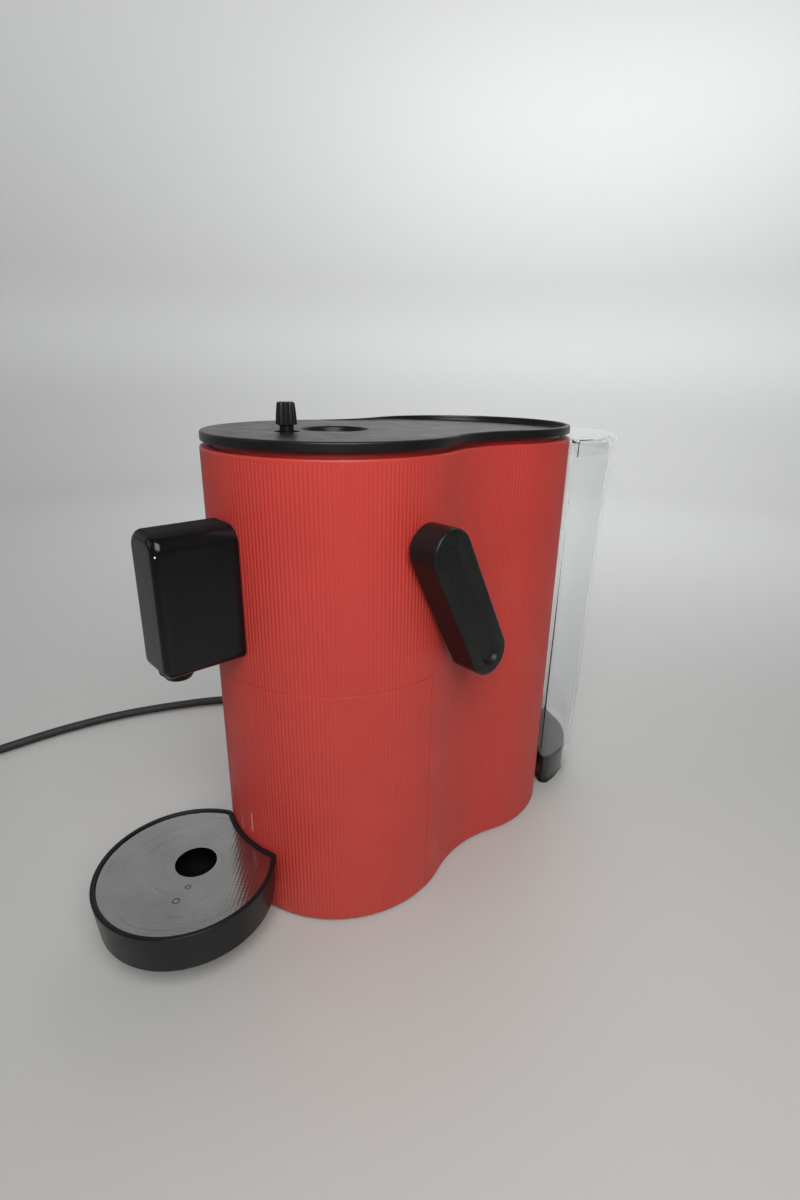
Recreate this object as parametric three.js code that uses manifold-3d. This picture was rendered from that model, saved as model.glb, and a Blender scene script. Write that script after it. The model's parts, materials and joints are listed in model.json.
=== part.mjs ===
// A ball-pod coffee machine with a figure-of-eight body.
// Millimetres, +Z up. The origin is on the axis of the front lobe, on the counter.
// The spout and drip tray face -Y, the water tank is at +Y, the lever is at +X.
import * as THREE from 'three';
import { mergeVertices } from 'three/addons/utils/BufferGeometryUtils.js';
import Module from 'manifold-3d';

const wasm = await Module();
wasm.setup();

// ---- driving dimensions -------------------------------------------------

const GAP = 0.3; // clearance between touching pieces
const WALL = 2.4; // moulded wall thickness

const FRONT_R = 70; // front lobe
const REAR_R = 67; // rear lobe
const LOBE_SPACING = 103; // between the two lobe axes
const NECK_R = 78.4; // concave stretch between the lobes

const SHELL_BOTTOM = 1.5;
const SEAM_Z = 146.2; // top of the used-pod container
const SHELL_TOP = 262;
const DRAWER_SPLIT_Y = 10; // the container ends here at each side
const LID_BOTTOM = 265;
const LID_TOP = 269.7;
const LID_INSET = 0.4;
const RING_INSET = 6; // the recessed ring under the lid

const PAD_H = 1.5;
const BASE_BOTTOM = PAD_H + GAP;
const BASE_TOP = BASE_BOTTOM + 4;
const DECK_BOTTOM = SEAM_Z + 3;
const DECK_TOP = DECK_BOTTOM + 3;

const BALL_R = 15.5; // the pressed coffee ball
const CHUTE_R = 18;
const BREW_Z = 187; // height of the ball in the brewing chamber

const LEVER_Z = 219; // height of the lever's shaft
const LEVER_ANGLE = THREE.MathUtils.degToRad(28.3); // leans back from straight down
const LEVER_LENGTH = 67.3; // between the centres of its round ends
const LEVER_R = 12.7;
const LEVER_X = 73; // inner face
const LEVER_THICK = 17.3;
const SHAFT_R = 5;

const GEAR_TEETH = 18;
const GEAR_MODULE = 2;
const GEAR_R = (GEAR_TEETH * GEAR_MODULE) / 2;
const TOOTH_PITCH = Math.PI * GEAR_MODULE;

const HEAD_HALF_W = 14;
const HEAD_BOTTOM = 160.2;
const HEAD_TOP = 229.9;
const HEAD_FRONT = 110; // reach in front of the lobe axis
const OUTLET_Y = -99;

const TRAY_Y = -107.2;
const TRAY_TOP = 42.4;
const TRAY_BOTTOM = 19.1;
const TRAY_TOP_R = 48.3;
const TRAY_BOTTOM_R = 46.3;

const TANK_Y = 158.5;
const TANK_BOTTOM = 8.5;
const TANK_FLOOR = 26;
const TANK_TOP = 259;
const TANK_BOTTOM_R = 61.4;
const TANK_TOP_R = 66.3;
const TANK_WALL = 2.2;
const INLET_Y = 188; // the tank's valve
const TANK_LOBE_R = REAR_R + 1.5; // the tank's hollow front clears the rear lobe

const CORD_R = 3.4;
const GLAND_Z = 13;
const GLAND_NECK_R = 5.6; // where the gland passes through the shell

const HOSE_R = 3;
const HOSE_HOLE_R = 4;
const HOSE_Z = 14; // tank hose through the shell's back

const BUSH_R = 8.2; // bush of the lever's shaft, through the shell's side
const OUTLET_HOLE_R = 8; // outlet pipe through the shell's front
const PLAY = 0.5; // easy fit of a plate inside the shell
const PAST = 2; // how far a cutting tool runs past the face it cuts
const ABOVE = 300; // taller than the whole machine

// ---- finishes -------------------------------------------------------------

function finish(color, roughness, metalness = 0) {
  return new THREE.MeshStandardMaterial({ color, roughness, metalness });
}

const RED = finish(0xb02a22, 0.5);
const BLACK = finish(0x161616, 0.5);
const GLOSS_BLACK = finish(0x08080a, 0.15);
const DARK_GREY = finish(0x3a3a3c, 0.6);
const STEEL = finish(0xb4b4b2, 0.35, 1);
const BRASS = finish(0xb08d4a, 0.35, 1);
const ALUMINIUM = finish(0x9c9d9e, 0.45, 1);
const CLEAR = finish(0xdfe6e6, 0.1);
const RUBBER = finish(0x101010, 0.85);
const SILICONE = finish(0xc8c4b8, 0.7);
const BOARD = finish(0x1f5a37, 0.6);
const LIGHT_WHITE = finish(0xffffff, 0.3);

// ---- geometry helpers -------------------------------------------------------

function point(x, y) {
  return new THREE.Vector2(x, y);
}

// Points along an arc, angles in degrees.
function arc(x, y, radius, from, to, steps) {
  return Array.from({ length: steps + 1 }, (_, i) => {
    const angle = THREE.MathUtils.degToRad(from + ((to - from) * i) / steps);
    return point(x + radius * Math.cos(angle), y + radius * Math.sin(angle));
  });
}

function ring(x, y, radius, steps = 32) {
  return arc(x, y, radius, 0, 360, steps).slice(0, -1);
}

function rectangle(x0, y0, x1, y1) {
  return [point(x0, y0), point(x1, y0), point(x1, y1), point(x0, y1)];
}

function roundedRectangle(x0, y0, x1, y1, lowR, highR, steps = 6) {
  return [
    ...arc(x1 - lowR, y0 + lowR, lowR, -90, 0, steps),
    ...arc(x1 - highR, y1 - highR, highR, 0, 90, steps),
    ...arc(x0 + highR, y1 - highR, highR, 90, 180, steps),
    ...arc(x0 + lowR, y0 + lowR, lowR, 180, 270, steps),
  ];
}

// A slot with round ends about (x0, y0) and (x1, y1).
function slot(x0, y0, x1, y1, radius, steps = 12) {
  const heading = THREE.MathUtils.radToDeg(Math.atan2(y1 - y0, x1 - x0));
  return [
    ...arc(x1, y1, radius, heading - 90, heading + 90, steps),
    ...arc(x0, y0, radius, heading + 90, heading + 270, steps),
  ];
}

// The body's plan, moved inwards by inset.
function bodyOutline(inset) {
  const front = FRONT_R + NECK_R;
  const rear = REAR_R + NECK_R;
  const neckY = (front ** 2 - rear ** 2 + LOBE_SPACING ** 2) / (2 * LOBE_SPACING);
  const neckX = Math.sqrt(front ** 2 - neckY ** 2);
  const toFront = THREE.MathUtils.radToDeg(Math.atan2(neckY, neckX));
  const toRear = THREE.MathUtils.radToDeg(Math.atan2(neckY - LOBE_SPACING, neckX));
  return [
    ...arc(0, 0, FRONT_R - inset, 180 - toFront, 360 + toFront, 32),
    ...arc(neckX, neckY, NECK_R + inset, 180 + toFront, 180 + toRear, 6).slice(1, -1),
    ...arc(0, LOBE_SPACING, REAR_R - inset, toRear, 180 - toRear, 30),
    ...arc(-neckX, neckY, NECK_R + inset, -toRear, -toFront, 6).slice(1, -1),
  ];
}

// The meeting point of two circles on the y axis, on the +X side.
function circlesMeet(y0, r0, y1, r1) {
  const gap = y1 - y0;
  const along = (r0 ** 2 - r1 ** 2 + gap ** 2) / (2 * gap);
  return point(Math.sqrt(r0 ** 2 - along ** 2), y0 + along);
}

function degrees(centre, y) {
  return THREE.MathUtils.radToDeg(Math.atan2(centre.y - y, centre.x));
}

// The tank's plan: a round back, and a hollow front that follows the rear lobe.
function tankOutline(radius, lobeR, cornerR) {
  const corner = circlesMeet(LOBE_SPACING, lobeR + cornerR, TANK_Y, radius - cornerR);
  const back = degrees(corner, TANK_Y);
  const hollow = degrees(corner, LOBE_SPACING);
  return [
    ...arc(0, TANK_Y, radius, back, 180 - back, 28),
    ...arc(-corner.x, corner.y, cornerR, 180 - back, 360 - hollow, 4).slice(1),
    ...arc(0, LOBE_SPACING, lobeR, 180 - hollow, hollow, 14).slice(1),
    ...arc(corner.x, corner.y, cornerR, 180 + hollow, 360 + back, 4).slice(1, -1),
  ];
}

function prism(outline, z0, z1, holes = []) {
  const shape = new THREE.Shape(outline);
  shape.holes = holes.map((hole) => new THREE.Path(hole));
  const geometry = new THREE.ExtrudeGeometry(shape, { depth: z1 - z0, bevelEnabled: false });
  return geometry.translate(0, 0, z0);
}

// A closed skin over a stack of outlines with equal numbers of points.
function loft(sections) {
  const count = sections[0].outline.length;
  const positions = sections.flatMap(({ outline, z }) => outline.flatMap((p) => [p.x, p.y, z]));
  const index = [];
  for (let level = 0; level + 1 < sections.length; level += 1) {
    const low = level * count;
    const high = low + count;
    for (let i = 0; i < count; i += 1) {
      const next = (i + 1) % count;
      index.push(low + i, low + next, high + next, low + i, high + next, high + i);
    }
  }
  const top = (sections.length - 1) * count;
  for (const [a, b, c] of THREE.ShapeUtils.triangulateShape(sections[0].outline, [])) {
    index.push(c, b, a);
  }
  for (const [a, b, c] of THREE.ShapeUtils.triangulateShape(sections.at(-1).outline, [])) {
    index.push(top + a, top + b, top + c);
  }
  const geometry = new THREE.BufferGeometry();
  geometry.setAttribute('position', new THREE.Float32BufferAttribute(positions, 3));
  geometry.setIndex(index);
  return geometry;
}

// A turned piece: [radius, height] pairs that start and end on the axis.
function turned(profile, segments = 32) {
  return new THREE.LatheGeometry(profile.map(([r, z]) => point(r, z)), segments).rotateX(Math.PI / 2);
}

// A turned ring between two radii.
function hoop(inner, outer, z0, z1, segments = 32) {
  const profile = [[inner, z0], [outer, z0], [outer, z1], [inner, z1], [inner, z0]];
  return turned(profile, segments);
}

function rod(radius, z0, z1, segments = 16) {
  return turned([[0, z0], [radius, z0], [radius, z1], [0, z1]], segments);
}

function box(x0, y0, z0, x1, y1, z1) {
  return prism(rectangle(x0, y0, x1, y1), z0, z1);
}

// Turns +Z to +X, keeping +Y; the old +X points down.
function alongX(geometry) {
  return geometry.rotateY(Math.PI / 2);
}

// Turns +Z to -Y, keeping +X; the old +Y points up.
function forwards(geometry) {
  return geometry.rotateX(Math.PI / 2);
}

function pipe(points, radius, steps, sides = 10) {
  const path = new THREE.CatmullRomCurve3(points.map(([x, y, z]) => new THREE.Vector3(x, y, z)));
  const section = new THREE.Shape(ring(0, 0, radius, sides));
  return new THREE.ExtrudeGeometry(section, { steps, bevelEnabled: false, extrudePath: path });
}

// ---- joining and cutting ---------------------------------------------------

function solid(geometry) {
  const plain = geometry.clone();
  plain.deleteAttribute('normal');
  plain.deleteAttribute('uv');
  const merged = mergeVertices(plain, 1e-4);
  return new wasm.Manifold(new wasm.Mesh({
    numProp: 3,
    vertProperties: new Float32Array(merged.attributes.position.array),
    triVerts: new Uint32Array(merged.index.array),
  }));
}

function joined(first, ...others) {
  return others.reduce((sum, geometry) => sum.add(solid(geometry)), solid(first));
}

function cut(body, ...tools) {
  const start = body instanceof THREE.BufferGeometry ? solid(body) : body;
  return tools.reduce((rest, tool) => rest.subtract(solid(tool)), start);
}

function geometryOf(manifold) {
  const result = manifold.getMesh();
  const geometry = new THREE.BufferGeometry();
  geometry.setAttribute('position', new THREE.Float32BufferAttribute(result.vertProperties, 3));
  geometry.setIndex(Array.from(result.triVerts));
  return geometry;
}

// ---- the assembly ------------------------------------------------------------

const machine = new THREE.Group();

function piece(name, shape, material, parent = machine) {
  const geometry = shape instanceof THREE.BufferGeometry ? shape : geometryOf(shape);
  const mesh = new THREE.Mesh(geometry, material);
  mesh.name = name;
  parent.add(mesh);
  return mesh;
}

// Feet and base.
const PAD_R = 34;
piece('front_foot_pad', rod(PAD_R, 0, PAD_H, 48), RUBBER);
piece('rear_foot_pad', rod(PAD_R, 0, PAD_H, 48).translate(0, LOBE_SPACING, 0), RUBBER);

const SCREW = { shankR: 1.7, headR: 3.4, low: 2, headTop: 3.7, tip: 18 };
const SCREW_HOLE_R = SCREW.shankR + GAP;
const SCREW_ANGLES = [40, 140];
const SCREW_CIRCLE_R = 59.5;
const BOSS_R = 5.4;
const BOSS_TOP = 30;
const screwPlaces = SCREW_ANGLES.map((angle) => {
  const place = arc(0, LOBE_SPACING, SCREW_CIRCLE_R, angle, angle, 1)[0];
  return { x: place.x, y: place.y };
});

function basePlate() {
  const plate = prism(bodyOutline(WALL + PLAY), BASE_BOTTOM, BASE_TOP);
  const holes = screwPlaces.flatMap(({ x, y }) => [
    rod(SCREW_HOLE_R, 0, BASE_TOP + PAST, 12).translate(x, y, 0),
    rod(SCREW.headR + 2 * GAP, 0, SCREW.headTop + GAP, 16).translate(x, y, 0),
  ]);
  return cut(plate, ...holes);
}
piece('base_plate', basePlate(), BLACK);

screwPlaces.forEach(({ x, y }, i) => {
  const profile = [[0, SCREW.low], [SCREW.headR, SCREW.low], [SCREW.headR, SCREW.headTop],
    [SCREW.shankR, SCREW.headTop], [SCREW.shankR, SCREW.tip], [0, SCREW.tip]];
  piece(`base_screw_${i + 1}`, turned(profile, 12).translate(x, y, 0), STEEL);
});

// The hole for the tank's hose, through the backs of the shell and the pedestal.
function hoseHole() {
  const back = LOBE_SPACING + REAR_R;
  return forwards(rod(HOSE_HOLE_R, -back - 6, -back + 10, 16)).translate(0, 0, HOSE_Z);
}

// The ribbed red shell: the whole body above the seam, and behind the container below it.
function outerShell() {
  const wall = prism(bodyOutline(0), SHELL_BOTTOM, SHELL_TOP, [bodyOutline(WALL)]);
  const lip = prism(bodyOutline(1), SHELL_TOP - 2, SHELL_TOP, [bodyOutline(RING_INSET - GAP)]);
  const bosses = screwPlaces.map(({ x, y }) =>
    rod(BOSS_R, BASE_TOP + GAP, BOSS_TOP, 16).translate(x, y, 0));
  const wide = FRONT_R + PAST;
  const frontCut = box(-wide, -wide, 0, wide, DRAWER_SPLIT_Y + GAP, SEAM_Z);
  const shaftHole = alongX(rod(BUSH_R + GAP, FRONT_R - 10, FRONT_R + 10, 24)).translate(0, 0, LEVER_Z);
  const outletHole = forwards(rod(OUTLET_HOLE_R, FRONT_R - 10, FRONT_R + 10, 24))
    .translate(0, 0, BREW_Z);
  const cordHole = alongX(rod(GLAND_NECK_R + 0.4, -REAR_R - 8, -REAR_R + 7, 20))
    .translate(0, LOBE_SPACING, GLAND_Z);
  const shankHoles = screwPlaces.map(({ x, y }) =>
    rod(SCREW_HOLE_R, 0, SCREW.tip + 6, 12).translate(x, y, 0));
  return cut(joined(wall, lip, ...bosses), frontCut, shaftHole, outletHole, cordHole, hoseHole(),
    ...shankHoles);
}
piece('outer_shell', outerShell(), RED);

const RING_BOTTOM = 250;
const neckRing = prism(bodyOutline(RING_INSET), RING_BOTTOM, LID_BOTTOM - GAP,
  [bodyOutline(RING_INSET + WALL)]);
piece('neck_ring', neckRing, RED);

// The lid: flat over the front lobe with a funnel for the pods, a shallow tray over the rear lobe.
const PORT_R = 16.5;
const DISH_R = 18.2;
const KNOB_Y = -30;
const KNOB_WELL_R = 6.6;
const LID_TRAY_Y = 38; // where the sunken tray starts
const LID_TRAY_SLOPE = 0.022; // radians, falling towards the back
const LID_TRAY_LIFT = 0.85; // the sloping floor, carried forwards to y = 0, ends this far over the lid
const LID_TRAY_RIM = 3;
function topLid() {
  const edge = 0.5;
  const round = 1.2;
  const plate = loft([
    { outline: bodyOutline(LID_INSET + edge), z: LID_BOTTOM },
    { outline: bodyOutline(LID_INSET), z: LID_BOTTOM + edge },
    { outline: bodyOutline(LID_INSET), z: LID_TOP - round },
    { outline: bodyOutline(LID_INSET + 0.4), z: LID_TOP - 0.35 },
    { outline: bodyOutline(LID_INSET + round), z: LID_TOP },
  ]);
  const low = LID_BOTTOM - PAST;
  const high = LID_TOP + PAST;
  const dish = turned([[0, low], [PORT_R, low], [PORT_R, LID_BOTTOM + 1.2],
    [DISH_R, LID_TOP + 0.01], [DISH_R, high], [0, high]], 40);
  const knobWell = rod(KNOB_WELL_R, low, high, 28).translate(0, KNOB_Y, 0);
  const overTray = box(-FRONT_R, LID_TRAY_Y, 0, FRONT_R, LOBE_SPACING + FRONT_R, 3 * PAST);
  overTray.rotateX(-LID_TRAY_SLOPE).translate(0, 0, LID_TOP + LID_TRAY_LIFT);
  const tray = solid(prism(bodyOutline(LID_INSET + LID_TRAY_RIM), LID_BOTTOM, high))
    .intersect(solid(overTray));
  return cut(plate, dish, knobWell).subtract(tray);
}
piece('top_lid', topLid(), BLACK);

// Decks and walls inside.
const PUMP = { x: 24, y: 112 };
function midDeck() {
  const plate = prism(bodyOutline(WALL + PLAY), DECK_BOTTOM, DECK_TOP);
  const hosePass = rod(2 * HOSE_R, 0, ABOVE, 16).translate(PUMP.x, PUMP.y, 0);
  return cut(plate, rod(CHUTE_R + 1, 0, ABOVE, 40), hosePass);
}
piece('mid_deck', midDeck(), DARK_GREY);
const PARTITION = { halfWidth: 55, front: 36, back: 38 };
const partition = box(-PARTITION.halfWidth, PARTITION.front, BASE_TOP + GAP,
  PARTITION.halfWidth, PARTITION.back, DECK_BOTTOM - GAP);
piece('partition_wall', partition, DARK_GREY);

// Brewing chamber: a fixed front half, its bracket and the guide rods.
const ROD_X = 28;
const ROD_R = 3;
const ROD_HOLE_R = ROD_R + GAP;
const BORE_R = 3.4; // water way through both halves of the chamber
const BRACKET = { halfWidth: 41, top: 214, thick: 4, frontY: -38.5, rearY: 82 };
const STEM_R = 6; // hollow stem of the piston
const ball = new THREE.SphereGeometry(BALL_R + GAP, 20, 12).translate(0, 0, BREW_Z);

function fixedCup() {
  const cup = forwards(rod(22, 0.5, 34, 32)).translate(0, 0, BREW_Z);
  return cut(cup, ball, forwards(rod(BORE_R, 0, 40, 16)).translate(0, 0, BREW_Z));
}
piece('brew_cup', fixedCup(), DARK_GREY);

// Bores along the machine for the two guide rods and what runs between them.
function chamberBores(centreR) {
  return [[-ROD_X, ROD_HOLE_R], [0, centreR], [ROD_X, ROD_HOLE_R]].map(([x, r]) =>
    forwards(rod(r, -120, 60, 16)).translate(x, 0, BREW_Z));
}

function bracket(y, centreR) {
  const { halfWidth, thick, top } = BRACKET;
  const plate = box(-halfWidth, y, DECK_TOP + GAP, halfWidth, y + thick, top);
  return cut(plate, ...chamberBores(centreR));
}
piece('front_bracket', bracket(BRACKET.frontY, BORE_R), DARK_GREY);
piece('rear_bracket', bracket(BRACKET.rearY, STEM_R + 1.5), DARK_GREY);

for (const [name, x] of [['guide_rod_left', -ROD_X], ['guide_rod_right', ROD_X]]) {
  piece(name, forwards(rod(ROD_R, -85, 38, 16)).translate(x, 0, BREW_Z), STEEL);
}

const CHUTE_BOTTOM = 212;
const CHUTE_TOP = 256;
piece('pod_chute', hoop(CHUTE_R, CHUTE_R + 1.6, CHUTE_BOTTOM, CHUTE_TOP, 36), DARK_GREY);

// Lever supports.
function leverBracket(x0, x1) {
  const plate = box(x0, -22, DECK_TOP + GAP, x1, 22, LEVER_Z + 14);
  return cut(plate, alongX(rod(SHAFT_R + GAP, 20, LEVER_X, 24)).translate(0, 0, LEVER_Z));
}
piece('lever_bracket_inner', leverBracket(34, 38), DARK_GREY);
piece('lever_bracket_outer', leverBracket(54, 57), DARK_GREY);
const BUSH = { inner: SHAFT_R + GAP, start: 62, flangeR: 10, flangeX: FRONT_R + 0.4, end: LEVER_X - GAP };
const bushProfile = [[BUSH.inner, BUSH.start], [BUSH_R, BUSH.start], [BUSH_R, BUSH.flangeX],
  [BUSH.flangeR, BUSH.flangeX], [BUSH.flangeR, BUSH.end], [BUSH.inner, BUSH.end],
  [BUSH.inner, BUSH.start]];
piece('lever_bush', alongX(turned(bushProfile, 24)).translate(0, 0, LEVER_Z), BLACK);

// Water path: flow meter and pump below the deck, heater above it.
const METER = { x: -22, y: 140, low: 30, high: 54 };
const HEATER_Z = 165;
const PUMP_LOW = 26;
const PUMP_HIGH = 128;

// The heater's outlet tube slides inside the hollow stem of the piston.
function thermoblock() {
  const block = prism(roundedRectangle(-34, 100, 34, 150, 6, 6, 3), HEATER_Z, 210);
  return joined(block, forwards(rod(HOSE_R, -102, -46, 16)).translate(0, 0, BREW_Z));
}
piece('thermoblock', thermoblock(), ALUMINIUM);

const pumpProfile = [[0, PUMP_LOW], [4, PUMP_LOW], [4, 32], [17, 32], [19, 36], [19, 100],
  [12, 104], [12, 124], [5, PUMP_HIGH], [0, PUMP_HIGH]];
piece('pump', turned(pumpProfile, 28).translate(PUMP.x, PUMP.y, 0), DARK_GREY);

const meterProfile = [[0, METER.low], [14, METER.low], [14, 48], [5, 48], [5, METER.high],
  [0, METER.high]];
piece('flow_meter', turned(meterProfile, 24).translate(METER.x, METER.y, 0), DARK_GREY);

const inletRoute = [[0, 176, HOSE_Z], [0, 160, HOSE_Z], [-12, 148, 13], [-20, 141.5, 15],
  [METER.x, METER.y, 21], [METER.x, METER.y, METER.low - GAP]];
piece('inlet_hose', pipe(inletRoute, HOSE_R, 12, 8), SILICONE);
const pumpRoute = [[METER.x, METER.y, METER.high + 2 * GAP], [-21, 139.5, 62], [-12, 134, 66], [-4, 128, 50],
  [-4, 126, 30], [6, 120, 15], [17, 113, 11.5], [PUMP.x, PUMP.y, 16],
  [PUMP.x, PUMP.y, PUMP_LOW - GAP]];
piece('pump_hose', pipe(pumpRoute, HOSE_R, 22, 8), SILICONE);
const heaterRoute = [[PUMP.x, PUMP.y, PUMP_HIGH + GAP], [PUMP.x, PUMP.y, HEATER_Z - GAP]];
piece('heater_hose', pipe(heaterRoute, HOSE_R, 1, 8), SILICONE);

const BOARD_THICK = 1.6;
piece('power_board', box(-48, 82, 20, -48 + BOARD_THICK, 122, 110), BOARD);
piece('control_board', box(-24, -54, 245, 24, -21, 245 + BOARD_THICK), BOARD);

// Spout head: a gloss box that stands out of the front lobe, hollow towards the body.
const HEAD_WALL = 2.2;
const HEAD_FRONT_R = 4.6; // round edge about the front face
const HEAD_LOW_R = 5;
const HEAD_HIGH_R = 8.5;
function headSolid(inset, front) {
  const sections = [{ back: 40, shrink: 0 }];
  for (let step = 0; step <= 5; step += 1) {
    const turn = (step / 5) * (Math.PI / 2);
    sections.push({
      back: front - HEAD_FRONT_R * (1 - Math.sin(turn)),
      shrink: HEAD_FRONT_R * (1 - Math.cos(turn)),
    });
  }
  const stack = sections.map(({ back, shrink }) => {
    const side = HEAD_HALF_W - inset - shrink;
    const low = HEAD_BOTTOM + inset + shrink;
    const high = HEAD_TOP - inset - shrink;
    const lowR = Math.max(HEAD_LOW_R - inset - shrink, 0.6);
    const highR = Math.max(HEAD_HIGH_R - inset - shrink, 0.8);
    return { outline: roundedRectangle(-side, low, side, high, lowR, highR, 5), z: back };
  });
  return forwards(loft(stack));
}

const LIGHT = { r: 0.8, y: -107, z: 220.6, end: 13.4 };
const NOZZLE = { bore: 2.6, tipR: 6.2, rimR: 9, neckR: 4.9, low: 155.2, high: 166 };
function spoutHead() {
  const bodySide = rod(FRONT_R + GAP, 100, ABOVE, 72);
  const tipHole = rod(NOZZLE.neckR + GAP, HEAD_BOTTOM - PAST, HEAD_BOTTOM + 10, 20)
    .translate(0, OUTLET_Y, 0);
  const lightHole = alongX(rod(LIGHT.r + GAP, 5, HEAD_HALF_W + PAST, 12))
    .translate(0, LIGHT.y, LIGHT.z);
  return cut(headSolid(0, HEAD_FRONT), headSolid(HEAD_WALL, HEAD_FRONT - HEAD_WALL), bodySide,
    tipHole, lightHole);
}
piece('spout_head', spoutHead(), GLOSS_BLACK);
const lightGuide = alongX(rod(LIGHT.r, 9, LIGHT.end, 12)).translate(0, LIGHT.y, LIGHT.z);
piece('status_light', lightGuide, LIGHT_WHITE);

const nozzleProfile = [[NOZZLE.bore, NOZZLE.low], [NOZZLE.tipR, NOZZLE.low],
  [NOZZLE.rimR, HEAD_BOTTOM - GAP], [NOZZLE.neckR, HEAD_BOTTOM - GAP], [NOZZLE.neckR, NOZZLE.high],
  [NOZZLE.bore, NOZZLE.high], [NOZZLE.bore, NOZZLE.low]];
piece('spout_nozzle', turned(nozzleProfile, 28).translate(0, OUTLET_Y, 0), BLACK);

const outletRoute = [[0, -38.8, BREW_Z], [0, -60, BREW_Z], [0, -82, BREW_Z], [0, -91, BREW_Z - 2],
  [0, -96.5, BREW_Z - 7], [0, OUTLET_Y, BREW_Z - 14],
  [0, OUTLET_Y, NOZZLE.high + GAP]];
piece('outlet_pipe', pipe(outletRoute, 2.2, 16, 8), STEEL);

// ---- lever: a thick round-ended bar, its shaft and its pinion -------------------

const LEVER_EDGE_R = 3;
const LEVER_INNER_EDGE = 0.8;
const LEVER_OUTER_X = LEVER_X + LEVER_THICK;
const LEVER_SOCKET = 9; // depth of the shaft's socket
const RECESS = { depth: 5, floorRim: 6.2, topRim: 3.6 };
function leverHandle() {
  const bar = (radius) => slot(0, 0, LEVER_LENGTH, 0, radius, 14);
  const stack = [
    { outline: bar(LEVER_R - LEVER_INNER_EDGE), z: LEVER_X },
    { outline: bar(LEVER_R), z: LEVER_X + LEVER_INNER_EDGE },
  ];
  for (let step = 0; step <= 4; step += 1) {
    const turn = (step / 4) * (Math.PI / 2);
    const z = LEVER_OUTER_X - LEVER_EDGE_R * (1 - Math.sin(turn));
    stack.push({ outline: bar(LEVER_R - LEVER_EDGE_R * (1 - Math.cos(turn))), z });
  }
  const recess = loft([
    { outline: bar(LEVER_R - RECESS.floorRim), z: LEVER_OUTER_X - RECESS.depth },
    { outline: bar(LEVER_R - RECESS.topRim), z: LEVER_OUTER_X + 0.5 },
  ]);
  const socket = rod(SHAFT_R + GAP, LEVER_X - PAST, LEVER_X + LEVER_SOCKET, 24);
  return cut(loft(stack), recess, socket);
}

// The bar is drawn along +X from the shaft to its free end, and hangs down and back.
function leverFrame(geometry) {
  return alongX(geometry).rotateX(LEVER_ANGLE).translate(0, 0, LEVER_Z);
}
piece('lever_handle', leverFrame(geometryOf(leverHandle())), BLACK);
const leverShaft = rod(SHAFT_R, 31, LEVER_X + LEVER_SOCKET - 0.4, 24);
piece('lever_shaft', alongX(leverShaft).translate(0, 0, LEVER_Z), STEEL);

// Straight-sided teeth with generous play.
const TOOTH_OUT = 1.6;
const TOOTH_IN = 2.3;
const TOOTH_ROOT = 1.6;
const TOOTH_TIP = 0.7;
const GEAR_X = 43; // inner face
const GEAR_THICK = 6;
function pinion() {
  const teeth = [];
  for (let tooth = 0; tooth < GEAR_TEETH; tooth += 1) {
    const middle = (360 * tooth) / GEAR_TEETH;
    for (const [radius, side] of [[GEAR_R - TOOTH_IN, -TOOTH_ROOT], [GEAR_R + TOOTH_OUT, -TOOTH_TIP],
      [GEAR_R + TOOTH_OUT, TOOTH_TIP], [GEAR_R - TOOTH_IN, TOOTH_ROOT]]) {
      const angle = middle + THREE.MathUtils.radToDeg(side / radius);
      teeth.push(arc(0, 0, radius, angle, angle, 1)[0]);
    }
  }
  return prism(teeth, GEAR_X, GEAR_X + GEAR_THICK, [ring(0, 0, SHAFT_R + GAP, 24)]);
}
piece('lever_pinion', alongX(pinion()).translate(0, 0, LEVER_Z), BRASS);

// ---- carriage: the moving half of the chamber, its rack and the port shutter ------

const CARRIAGE_Y = 36;
const CARRIAGE_THICK = 6;
const CARRIAGE_BACK = CARRIAGE_Y + CARRIAGE_THICK;
const RACK = { front: -40, teeth: 6, low: 190, side: 0.5 }; // side: how far it stands past the pinion
const ARM_HALF_W = 8; // the arm that carries the shutter
const SHUTTER_HALF_W = 20;
const SHUTTER_BOTTOM = 261.3;
const SHUTTER_TOP = LID_BOTTOM - 0.4;
const SHUTTER_DISH = 1.8; // depth of its round hollow

// Drawn as (-z, y), so that alongX stands it up along the machine.
function rackBar() {
  const line = GEAR_R - LEVER_Z;
  const bar = [point(-RACK.low, CARRIAGE_BACK), point(-RACK.low, RACK.front),
    point(line + TOOTH_IN, RACK.front)];
  for (let tooth = RACK.teeth; tooth > 0; tooth -= 1) {
    const y = (0.5 - tooth) * TOOTH_PITCH;
    bar.push(point(line + TOOTH_IN, y - TOOTH_ROOT), point(line - TOOTH_OUT, y - TOOTH_TIP),
      point(line - TOOTH_OUT, y + TOOTH_TIP), point(line + TOOTH_IN, y + TOOTH_ROOT));
  }
  bar.push(point(line + TOOTH_IN, CARRIAGE_BACK));
  return alongX(prism(bar, GEAR_X - RACK.side, GEAR_X + GEAR_THICK + RACK.side));
}

function carriageFrame() {
  const plate = box(-34, CARRIAGE_Y, 174, GEAR_X + GEAR_THICK + RACK.side, CARRIAGE_BACK,
    LEVER_Z - GEAR_R - TOOTH_IN);
  const arm = box(-ARM_HALF_W, CARRIAGE_Y, 195, ARM_HALF_W, CARRIAGE_BACK, SHUTTER_BOTTOM - GAP);
  return cut(joined(plate, arm, rackBar()), ...chamberBores(STEM_R + 0.4));
}
piece('carriage_frame', carriageFrame(), DARK_GREY);

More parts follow.
